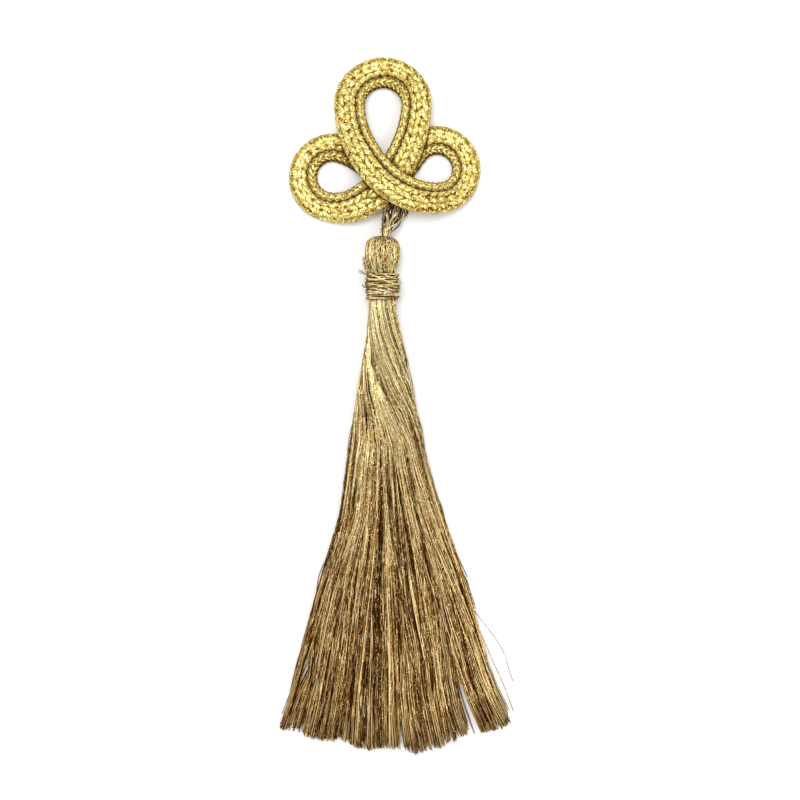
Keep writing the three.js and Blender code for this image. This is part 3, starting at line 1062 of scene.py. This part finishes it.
def skirt_paths(across, level, share, longer, pushed=1.0):
    """Paths of skirt threads.

    A thread leaves the round neck at its level's chord, so it starts at across times that chord, and fans out
    to across times the half width at the hem. Its height is its level's share of the skirt's depth, less
    towards the edges. Under the neck, place and height turn about the bundle's middle by NECK_TWIST, less and
    less down to NECK_TWIST_END. Its run is shorter towards the edges, which gives the curved hem, and longer
    by its own raggedness. Pushed is 1 where the skirt's openings move it aside, or 0.
    """
    middle, half, under, over = skirt_table(share)
    fan = past(share, 0.02, 0.98)
    chord = np.sqrt(np.maximum(0, 1 - (2 * level - 1) ** 2))
    turn = NECK_TWIST * (1 - smooth(share / NECK_TWIST_END))
    turned = across * chord * np.cos(turn) - (2 * level - 1) * np.sin(turn)
    raised = 0.5 + 0.5 * (across * chord * np.sin(turn) + (2 * level - 1) * np.cos(turn))
    crown = 1 - HEM_DROOP * across**2 * fan
    x = middle + half * (turned + across * (1 - chord) * np.sqrt(fan))
    x = x + pushed * parted(across[:, -1:], share)
    run = SKIRT_LENGTH * share * (1 - HEM_ARC * across**2 - HEM_TILT * across)
    z = under + (over - under) * crown * raised
    return in_tassel(x, SKIRT_TOP_DROP + run + longer * fan, z)


def at_hem(share):
    """How near shares of the length are to the hem: an eased step over the last of them."""
    return past(share, HEM_START, 1 - HEM_START)


def skirt_shade(across, level, share, strayed, lock_shade, thin_line, gaps):
    """How open the skirt's threads lie.

    It is 1, less painted shade for threads that lie deep or have strayed from their lock, and by the lock's
    own shade, though hardly at the fan's edges. Thin dark lines are darker still, and so are the gaps, with
    painted shadow. All of them ease at the hem, so the tips are paler.
    """
    hem = at_hem(share)
    deep = 0.5 - 0.5 * past(level, 0.1, 0.6)
    covered = deep + lock_shade + 0.25 * past(strayed, 0.6, 1.4)
    covered = np.clip(covered, 0, 0.58) * past(share, -0.05, 0.45) * (1 - 0.6 * hem)
    edge = past(np.abs(across), 0.88, 0.08)
    shade = (1 - covered * (1 - 0.8 * edge)) * (thin_line + (1 - thin_line) * 0.7 * hem)
    return shade * (1 - 0.9 * gaps * (1 - 0.5 * hem))


def skirt_threads(settings):
    """Every thread of the skirt, in three pieces from the table up.

    Most threads lie in locks: a lock has a place across the fan and in its depth, and its threads keep close
    to it, closer towards the hem. The rest lie anywhere. A thread wanders by slow sines, runs almost straight
    from four fifths of its length on, frays at its end, and is a thin three-sided strip that turns.
    """
    rng = np.random.default_rng(7)
    count = settings.threads
    locks = settings.locks
    lock_across = np.linspace(-LOCK_REACH, LOCK_REACH, locks) + rng.normal(0, LOCK_UNEVEN, locks)
    on_top = rng.random(locks) < TOP_LOCKS
    lock_level = np.where(on_top, rng.uniform(*TOP_LEVELS, locks), rng.uniform(*LOW_LEVELS, locks))
    lock_longer = rng.normal(0, LOCK_LENGTHS, locks)
    lock_phase = rng.random(locks)
    lock_beat = rng.uniform(*LOCK_BEATS, locks)
    lock_sway = rng.normal(0, LOCK_SWAY, locks)
    lock_shade = rng.normal(0, LOCK_SHADES, locks)
    lock_slant = rng.normal(*LOCK_SLANT, locks) * (1 - lock_across**2)

    share = np.linspace(SKIRT_START, 1, SKIRT_STEPS)[None]
    lower = smooth(share)
    bent = np.minimum(share, 0.64 + 0.2 * share)
    still_to_bend = bent - 0.84
    of = rng.integers(0, locks, count)
    loose = (rng.random(count) < LOOSE_THREADS)[:, None]
    swing = rng.uniform(*THREAD_BEATS, (count, 1)) * bent + rng.random((count, 1))
    apart = rng.normal(0, LOCK_SPREAD, (count, 1)) * np.cos(2 * pi * swing)
    gather = 1 - 0.25 * past(share, 0.1, 0.4) - 0.15 * past(share, 0.75, 0.25)
    turns = lock_beat[of][:, None] * bent + lock_phase[of][:, None]
    sway = lock_sway[of][:, None] * np.sin(2 * pi * turns) * smooth(share / 0.4)
    slant = lock_slant[of][:, None] * still_to_bend
    in_lock = lock_across[of][:, None] + apart * gather + sway + slant
    wander = rng.normal(*LOOSE_SLANT, (count, 1)) * still_to_bend
    anywhere = rng.uniform(-1, 1, (count, 1)) + wander
    across = np.where(loose, anywhere, in_lock)
    beyond = np.maximum(np.abs(across) - FAN_EDGE, 0)
    kept = np.minimum(np.abs(across), FAN_EDGE) + FAN_MARGIN * np.tanh(beyond / FAN_MARGIN)
    across = np.sign(across) * kept
    level = lock_level[of][:, None] + rng.normal(0, LEVEL_SPREAD, (count, 1))
    level = np.clip(np.where(loose, rng.uniform(0, 1, (count, 1)), level), LOWEST_LEVEL, 1.0)
    longer = lock_longer[of][:, None] + rng.normal(0, THREAD_LENGTHS, (count, 1)) + 1.2 * (level - 1)
    longer = np.minimum(longer, 0.4 + 0.4 * longer)
    longer = longer + faired(across[:, -1:], *np.array(HEM_STEPS).T)

    strayed = np.where(loose, 0.5, np.abs(apart) / 0.04)
    paths = skirt_paths(across, np.clip(level - 0.04 * strayed, LOWEST_LEVEL, 1.0), share, longer)
    hem = at_hem(share)
    wave = rng.uniform(*RIPPLE, (count, 1)) * lower * (1 - 0.6 * hem)
    beat = rng.uniform(*RIPPLE_BEATS, (count, 1))
    paths[..., 0] += wave * np.sin(2 * pi * (beat * share + rng.random((count, 1))))
    paths[..., 0] += rng.normal(0, HEM_FRAY, (count, 1)) * hem
    paths[..., 2] += 0.25 * wave * np.sin(2 * pi * (beat * share + rng.random((count, 1))))
    half = settings.thread_width / MM / 2 * rng.uniform(0.7, 1.2, (count, 1)) * (0.8 + 0.1 * lower)
    paths[..., 2] = np.maximum(paths[..., 2], half)
    twist = rng.uniform(0, pi, (count, 1)) + rng.normal(0, 1, (count, 1)) * 8 * share
    tone = rng.random((count, 1))
    gaps = in_gaps(paths[..., 0] - TASSEL_PLACE[0], share)
    paths[..., 2] = np.maximum(paths[..., 2] * (1 - GAP_SINK * gaps), half)
    dark_line = 0.25 + 0.35 * (1 - smooth(share / 0.3))
    thin_line = np.where(rng.random((count, 1)) < THIN_LINES, dark_line, 1.0)
    shade = skirt_shade(across, level, share, strayed, lock_shade[of][:, None], thin_line, gaps)

    order = np.argsort(level[:, 0])
    pieces = []
    for name, part in zip(("skirt_under", "skirt_middle", "skirt_top"), np.array_split(order, 3)):
        size = half[part]
        made = strands(name, paths[part], UP, size, 0.7 * size, 3, tone[part], shade[part], twist[part])
        pieces.append(made)
    return pieces


def flyaway_threads(name, settings):
    """Stray threads at the edges, in the slits and across the top, each a curve through its three places.

    The first ones are listed. The rest are the frizz: they leave one of the edges anywhere and end near it.
    """
    rng = np.random.default_rng(13)
    count = settings.frizz
    edge = np.where(rng.random((count, 1)) < 0.6, 1.0, -1.0)
    start = rng.uniform(0.12, 0.86, (count, 1))
    down = start + np.linspace(0, 1, 3) * rng.uniform(0.06, 0.13, (count, 1))
    out = edge * (0.97 + np.array([0, 0.03, 0.02]) + rng.normal(0, (0.005, 0.012, 0.02), (count, 3)))
    rows = np.concatenate([np.array(FLYAWAYS), np.stack([down, out], axis=-1)])
    curves = spline(rows, 20)
    level = np.where(np.abs(rows[:, :1, 1]) < 0.6, 1.02, 0.5)
    paths = skirt_paths(curves[..., 1], level, curves[..., 0], rng.normal(0, 0.8, (len(rows), 1)), 0.0)
    half = settings.thread_width / MM / 2 * rng.uniform(0.5, 0.7, (len(rows), 1))
    return strands(name, paths, UP, half, 0.6 * half, 4, rng.random((len(rows), 1)), 0.5)


# Neck binding and hanger


def wound_cords(name, settings):
    """Turns of cord round the neck: a helix that sags and tilts from turn to turn, and looser turns across.

    The first and last turns are tucked in towards the neck, and the turns are darker at the sides with
    painted shade.
    """
    half = settings.cord_width / MM / 2
    made = []
    for layer, (turns, lean, sag, rise, radius) in enumerate(BINDING_LAYERS):
        rng = np.random.default_rng(layer + 1)
        angle = np.linspace(0, 2 * pi * turns, int(RINGS_TO_A_TURN * turns))
        drift = sum(rng.normal(0, 0.12) * np.sin(angle * k / 2.0 + rng.uniform(0, 6)) for k in (1, 3, 5))
        below = 0.3 + rise * angle / (2 * pi) + lean * np.sin(angle) * 0.6 + drift - sag * np.cos(angle)
        below = np.clip(below, *BINDING_REACH)
        tucked = 0.5 * (1 - smooth(below / 0.9)) + 0.4 * past(below, 6.9, 0.8)
        uneven = radius - tucked + 0.06 * np.sin(2.3 * angle + layer)
        path = round_head(uneven, angle + pi, BINDING_TOP_DROP + below)[None]
        path[..., 2] = np.maximum(path[..., 2], half)
        outward = np.stack([np.sin(angle + pi), np.zeros_like(angle), np.cos(angle + pi)], axis=-1)[None]
        side = past(np.abs(np.sin(angle)), 0.7, 0.25)
        shade = np.clip(0.95 + 0.3 * np.sin(1.7 * angle + layer) - 0.5 * side, 0, 1)
        tone = np.full((1, 1), 0.3 + 0.2 * layer)
        made.append(strands(f"{name}_{layer}", path, outward, half, 0.9 * half, 6, tone, shade[None]))
    return made


def binding_core(name):
    """Inner turns of the binding: a plain drum under the outer turns, from its top to its foot."""
    below, radius = np.array(BINDING_DRUM).T
    drop = BINDING_TOP_DROP + below
    angle = -np.linspace(0, 2 * pi, 48, endpoint=False)
    rings = round_head(radius[:, None], angle[None], drop[:, None])[None]
    return tubes(name, rings * MM, drop[None])


def loose_ends(name, settings):
    """Cut ends of the binding: from root to tip, bowed a little, a few thin strands to an end."""
    rng = np.random.default_rng(5)
    ends = np.repeat(np.array(LOOSE_ENDS), STRANDS_TO_AN_END, axis=0)
    base = np.array([TASSEL_PLACE[0], TASSEL_PLACE[1], HEAD_AXIS_Z])
    root = ends[:, 0] + rng.normal(0, 0.16, ends[:, 0].shape)
    tip = ends[:, 1] + rng.normal(0, 0.3, ends[:, 1].shape)
    middle = (root + tip) / 2 + rng.normal(0, 0.22, root.shape)
    steps = 14
    paths = spline(np.stack([root, middle, tip], axis=1) + base, steps)
    half = settings.cord_width / MM / 3.4 * np.linspace(1, 0.6, steps)
    shade = rng.uniform(0.3, 0.95, (len(paths), 1))
    return strands(name, paths, UP, half, half, 5, rng.random((len(paths), 1)), shade)


def hanger_threads(name, settings):
    """Loops of thread from the crown up behind the motif: up one leg, round the turn and down the other.

    A loop strays from the leg by its own offsets. The paler threads lie higher, and the lower ones are darker
    with painted shade. All grow darker towards the turn, with the painted shadow of the braid, and on the
    left of the stalk, with painted shade. Two stray threads bow out at the sides.
    """
    rng = np.random.default_rng(9)
    count = settings.loops
    half_width = np.linspace(*HANGER_HALF_WIDTHS, count)
    leg = np.array(HANGER_LEG)
    nest = (1 - np.arange(count) / (count - 1)) * (SOLID_LOOPS - 1) * HANGER_NEST
    sides = []
    for side in (-1, 1):
        x = leg[None, :, 0] + side * leg[None, :, 2] * half_width[:, None]
        sides.append(np.stack(np.broadcast_arrays(x, leg[None, :, 1], leg[None, :, 3]), axis=-1))
    turn_x, turn_y, turn_z = HANGER_TURN
    top = np.stack(np.broadcast_arrays(turn_x, turn_y - nest, turn_z), axis=-1)
    points = np.concatenate([sides[0], top[:, None], sides[1][:, ::-1]], axis=1)
    points[:, 1:-1] += rng.normal(0, HANGER_SPREAD, points[:, 1:-1].shape)
    steps = 60
    paths = np.concatenate([spline(points, steps), spline(np.array(HANGER_STRAYS), steps)])
    half = settings.hanger_width / MM / 2 * rng.uniform(0.7, 1.2, (len(paths), 1))
    pale = rng.permutation(np.linspace(0, 1, len(paths)))[:, None]
    paths[..., 2] += HANGER_DEPTH * (pale - 0.5)
    # Painted shadow under the braid, and painted shade on the left of the stalk and on the lower threads
    high = past(paths[..., 1], *HANGER_SHADOW)
    left = past(-paths[..., 0], *HANGER_LEFT) * (1 - past(paths[..., 1], *HANGER_LEFT_TOP))
    dark_ones = smooth((0.72 - pale) / 0.2)
    shade = np.clip(1 - 0.9 * dark_ones - 0.7 * high - 0.6 * left, 0, 1)
    return strands(name, paths, UP, half, half, 5, pale, shade)


# Settings


class BraidSettings(PropertyGroup):
    """Sizes and colours of the braid."""

    yarns: IntProperty(
        name="Yarns", description="Yarns of each lay of the wide channel, even", default=8, min=4, max=20
    )
    lay: FloatProperty(
        name="Lay",
        description="Length in which a yarn goes round the wide channel",
        default=0.0192,
        unit="LENGTH",
    )
    yarn_width: FloatProperty(
        name="Yarn width", description="Width of a yarn of the wide channel", default=0.00165, unit="LENGTH"
    )
    inner_yarns: IntProperty(
        name="Inner yarns",
        description="Yarns of each lay of the narrow channel, even",
        default=6,
        min=4,
        max=20,
    )
    inner_lay: FloatProperty(
        name="Inner lay",
        description="Length in which a yarn goes round the narrow channel",
        default=0.0138,
        unit="LENGTH",
    )
    inner_width: FloatProperty(
        name="Inner yarn width",
        description="Width of a yarn of the narrow channel",
        default=0.00122,
        unit="LENGTH",
    )
    yarn_thickness: FloatProperty(
        name="Yarn thickness", description="Thickness of a yarn", default=0.0005, unit="LENGTH"
    )
    wave: FloatProperty(
        name="Wave", description="How far a yarn rises over a crossing", default=0.0002, unit="LENGTH"
    )
    step: FloatProperty(
        name="Step", description="Length of braid between two rings of a yarn", default=0.00036, unit="LENGTH"
    )
    bright: FloatVectorProperty(
        name="Bright", description="Colour of a yarn's glints", default=(1.0, 0.91, 0.4), subtype="COLOR"
    )
    dull: FloatVectorProperty(
        name="Dull", description="Colour of a plain yarn", default=(0.46, 0.32, 0.072), subtype="COLOR"
    )
    # Dark: the colour that painted shade darkens a yarn towards, and that of the filling between the yarns
    dark: FloatVectorProperty(
        name="Dark", description="Colour between the yarns", default=(0.1, 0.05, 0.005), subtype="COLOR"
    )


class TasselSettings(PropertyGroup):
    """Sizes and colours of the head and skirt."""

    threads: IntProperty(name="Threads", description="Threads of the skirt", default=5000, min=200, max=5600)
    locks: IntProperty(
        name="Locks", description="Locks that the threads gather in", default=54, min=20, max=300
    )
    head_threads: IntProperty(
        name="Head threads", description="Threads that show round the head", default=320, min=60, max=600
    )
    frizz: IntProperty(
        name="Frizz", description="Short stray threads at the edges", default=80, min=1, max=300
    )
    thread_width: FloatProperty(
        name="Thread width", description="Width of a thread", default=0.00032, unit="LENGTH"
    )
    bright: FloatVectorProperty(
        name="Bright", description="Colour of a thread's glints", default=(1.0, 0.9, 0.5), subtype="COLOR"
    )
    dull: FloatVectorProperty(
        name="Dull", description="Colour of a plain thread", default=(0.285, 0.141, 0.021), subtype="COLOR"
    )
    # Dark: the colour that painted shade darkens a thread towards, and that of the head's inside
    dark: FloatVectorProperty(
        name="Dark", description="Colour between the threads", default=(0.04, 0.012, 0.002), subtype="COLOR"
    )
    fade: FloatProperty(
        name="Fade", description="How much darker the hem is than the neck", default=0.43, min=0, max=1
    )
    tint: FloatVectorProperty(
        name="Hem tint",
        description="What the hem's colour is multiplied by",
        default=(1.0, 0.88, 0.79),
        subtype="COLOR",
    )


class BindingSettings(PropertyGroup):
    """Sizes and colours of the neck binding and of the hanger."""

    cord_width: FloatProperty(
        name="Cord width", description="Width of the wound cord", default=0.00036, unit="LENGTH"
    )
    hanger_width: FloatProperty(
        name="Hanger thread", description="Width of a hanger thread", default=0.00037, unit="LENGTH"
    )
    loops: IntProperty(name="Hanger loops", description="Loops of the hanger", default=17, min=2, max=40)
    bright: FloatVectorProperty(
        name="Bright", description="Colour of a cord's glints", default=(1.0, 0.88, 0.48), subtype="COLOR"
    )
    dull: FloatVectorProperty(
        name="Dull", description="Colour of a plain cord", default=(0.36, 0.23, 0.085), subtype="COLOR"
    )
    # Dark: the colour that painted shade darkens a cord or hanger thread towards
    dark: FloatVectorProperty(
        name="Dark", description="Colour between the cords", default=(0.06, 0.022, 0.01), subtype="COLOR"
    )


class StageSettings(PropertyGroup):
    """Floor, light and camera."""

    pale: FloatVectorProperty(
        name="Floor", description="Colour of the floor", default=(0.94, 0.94, 0.94), subtype="COLOR"
    )
    camera_height: FloatProperty(
        name="Camera height", description="Height of the camera over the table", default=0.5, unit="LENGTH"
    )
    sky: FloatProperty(name="Sky", description="Strength of the light from all round", default=0.74, min=0)
    key: FloatProperty(
        name="Key light", description="Power of the large light", default=5.9, min=0, unit="POWER"
    )


class GoldTasselSettings(PropertyGroup):
    """All settings of the tassel."""

    braid: PointerProperty(name="Braid", description="Sizes and colours of the braid", type=BraidSettings)
    tassel: PointerProperty(name="Tassel", description="Sizes and colours of the tassel", type=TasselSettings)
    binding: PointerProperty(
        name="Binding", description="Sizes and colours of the binding and hanger", type=BindingSettings
    )
    stage: PointerProperty(name="Stage", description="Floor, light and camera", type=StageSettings)


# Operators


def dress(piece, material, node):
    """Gives a piece its finish, and puts it on the part in place of a node."""
    piece.data.materials.append(material)
    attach(piece, "root")
    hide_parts(node)


class MakeBraid(Operator):
    """Plaits the looped braid of the motif over its filling"""

    bl_idname = "gold_tassel.braid"
    bl_label = "Braid motif"

    def execute(self, context):
        settings = context.scene.gold_tassel.braid
        gold = metal_finish(
            "braid_gold_yarn",
            settings,
            level=0.64,
            contrast=0.1,
            drift=0.25,
            run=3.0,
            kink=0.36,
            gleam=3.2,
            plies=5.0,
            round_shading=0.04,
            grain=1.0,
        )
        for channel in ("wide", "narrow"):
            for side, turn in (("right", 1), ("left", -1)):
                piece = braid_yarns(f"{channel}_channel_{side}_lay", settings, channel, turn)
                dress(piece, gold, "braid_motif")
        # The filling takes the dark colour: painted shade between the yarns and painted shadow in the groove
        filling = core_finish("braid_filling", settings.dark)
        dress(braid_core("braid_core"), filling, "braid_motif")
        return {"FINISHED"}


class MakeHanger(Operator):
    """Loops the hanger threads from the crown up behind the motif"""

    bl_idname = "gold_tassel.hanger"
    bl_label = "Hanger"

    def execute(self, context):
        settings = context.scene.gold_tassel.binding
        finish = metal_finish(
            "hanger_gold_thread",
            settings,
            level=0.6,
            contrast=0.7,
            drift=1.8,
            run=1.6,
            kink=0.6,
            gleam=4.0,
            plies=1.5,
            round_shading=0.3,
        )
        dress(hanger_threads("hanger_threads", settings), finish, "hanger_loop")
        return {"FINISHED"}


class MakeHead(Operator):
    """Lays the threads over the crown and down the head"""

    bl_idname = "gold_tassel.head"
    bl_label = "Head"

    def execute(self, context):
        settings = context.scene.gold_tassel.tassel
        finish = metal_finish(
            "head_gold_thread",
            settings,
            level=0.86,
            contrast=0.7,
            drift=1.1,
            run=1.6,
            kink=0.6,
            gleam=12.0,
            plies=1.0,
            round_shading=0.1,
            rare=0.56,
            grain=1.8,
        )
        dress(head_threads("head_threads", settings), finish, "tassel")
        # The head's inside is dark: painted shade where it shows between the threads
        dress(head_core("head_core"), core_finish("head_inside", settings.dark), "tassel")
        return {"FINISHED"}


class MakeSkirt(Operator):
    """Fans the locks of thread out from the neck to the hem"""

    bl_idname = "gold_tassel.skirt"
    bl_label = "Skirt"

    def execute(self, context):
        settings = context.scene.gold_tassel.tassel
        finish = metal_finish(
            "skirt_gold_thread",
            settings,
            level=1.01,
            contrast=1.4,
            drift=0.6,
            run=14.0,
            kink=0.7,
            gleam=7.0,
            plies=0.8,
            round_shading=0.14,
            rare=0.59,
            grain=2.6,
            glints=30.0,
            slack=0.0034,
            fade=settings.fade,
            tint=settings.tint,
        )
        for piece in (*skirt_threads(settings), flyaway_threads("skirt_strays", settings)):
            dress(piece, finish, "tassel")
        return {"FINISHED"}


class MakeBinding(Operator):
    """Winds the cord round the neck and leaves its cut ends out"""

    bl_idname = "gold_tassel.binding"
    bl_label = "Neck binding"

    def execute(self, context):
        settings = context.scene.gold_tassel.binding
        finish = metal_finish(
            "binding_gold_cord",
            settings,
            level=0.66,
            contrast=0.2,
            drift=1.2,
            run=4.0,
            kink=0.8,
            gleam=4.0,
            plies=1.5,
            round_shading=0.3,
        )
        for piece in wound_cords("binding_turns", settings):
            dress(piece, finish, "neck_binding")
        # The drum is the cord's dull colour darkened: painted shade between the turns
        inner = core_finish("binding_inside", tuple(0.4 * part for part in settings.dull))
        dress(binding_core("binding_core"), inner, "neck_binding")
        dress(loose_ends("binding_ends", settings), finish, "neck_binding")
        return {"FINISHED"}


class MakeStage(Operator):
    """Sets the pale floor, the soft light and the camera straight above"""

    bl_idname = "gold_tassel.stage"
    bl_label = "Stage"

    def execute(self, context):
        scene = context.scene
        settings = scene.gold_tassel.stage
        reach = np.linspace(-FLOOR_REACH, FLOOR_REACH, FLOOR_LINES)
        x, y = np.meshgrid(reach, reach)
        corner = np.arange(x.size).reshape(x.shape)
        faces = np.stack([corner[:-1, :-1], corner[:-1, 1:], corner[1:, 1:], corner[1:, :-1]], axis=-1)
        mesh = bpy.data.meshes.new("floor")
        places = np.stack([x, y, np.zeros_like(x)], axis=-1).reshape(-1, 3)
        mesh.from_pydata(places.tolist(), [], faces.reshape(-1, 4).tolist())
        mesh.materials.append(floor_finish("pale_floor", settings.pale))
        floor = bpy.data.objects.new("floor", mesh)
        scene.collection.objects.link(floor)

        world = bpy.data.worlds.new("studio")
        world.use_nodes = True
        background = world.node_tree.nodes["Background"]
        background.inputs["Color"].default_value = (1.0, 1.0, 1.0, 1.0)
        background.inputs["Strength"].default_value = settings.sky
        scene.world = world

        for name, (place, turn, size, share) in LIGHTS.items():
            lamp = bpy.data.lights.new(name, "AREA")
            lamp.size = size
            lamp.energy = share * settings.key
            light = bpy.data.objects.new(name, lamp)
            light.location = place
            light.rotation_euler = turn
            scene.collection.objects.link(light)

        lens = bpy.data.cameras.new("camera")
        lens.sensor_fit = "HORIZONTAL"
        lens.angle = 2 * atan(VIEW_HALF_WIDTH * MM / settings.camera_height)
        lens.clip_start = 0.01
        camera = bpy.data.objects.new("camera", lens)
        camera.location = (VIEW_CENTRE[0] * MM, VIEW_CENTRE[1] * MM, settings.camera_height)
        scene.collection.objects.link(camera)
        scene.camera = camera
        scene.view_settings.view_transform = "Standard"
        return {"FINISHED"}


class GOLD_TASSEL_PT_pieces(Panel):
    """Lists the pieces of the tassel and their settings"""

    bl_label = "Gold tassel"
    bl_space_type = "VIEW_3D"
    bl_region_type = "UI"
    bl_category = "Tassel"

    def draw(self, context):
        for maker in MAKERS:
            self.layout.operator(maker.bl_idname)
        everything = context.scene.gold_tassel
        for group in (everything.braid, everything.tassel, everything.binding, everything.stage):
            box = self.layout.box()
            for name in group.__annotations__:
                box.prop(group, name)


MAKERS = (MakeStage, MakeBraid, MakeHanger, MakeHead, MakeSkirt, MakeBinding)
SETTINGS = (BraidSettings, TasselSettings, BindingSettings, StageSettings, GoldTasselSettings)
CLASSES = (*SETTINGS, *MAKERS, GOLD_TASSEL_PT_pieces)


def register():
    for cls in CLASSES:
        bpy.utils.register_class(cls)
    bpy.types.Scene.gold_tassel = PointerProperty(type=GoldTasselSettings)


def unregister():
    del bpy.types.Scene.gold_tassel
    for cls in reversed(CLASSES):
        bpy.utils.unregister_class(cls)


def main():
    register()
    bpy.ops.gold_tassel.stage()
    bpy.ops.gold_tassel.braid()
    bpy.ops.gold_tassel.hanger()
    bpy.ops.gold_tassel.head()
    bpy.ops.gold_tassel.skirt()
    bpy.ops.gold_tassel.binding()


if __name__ == "__main__":
    main()
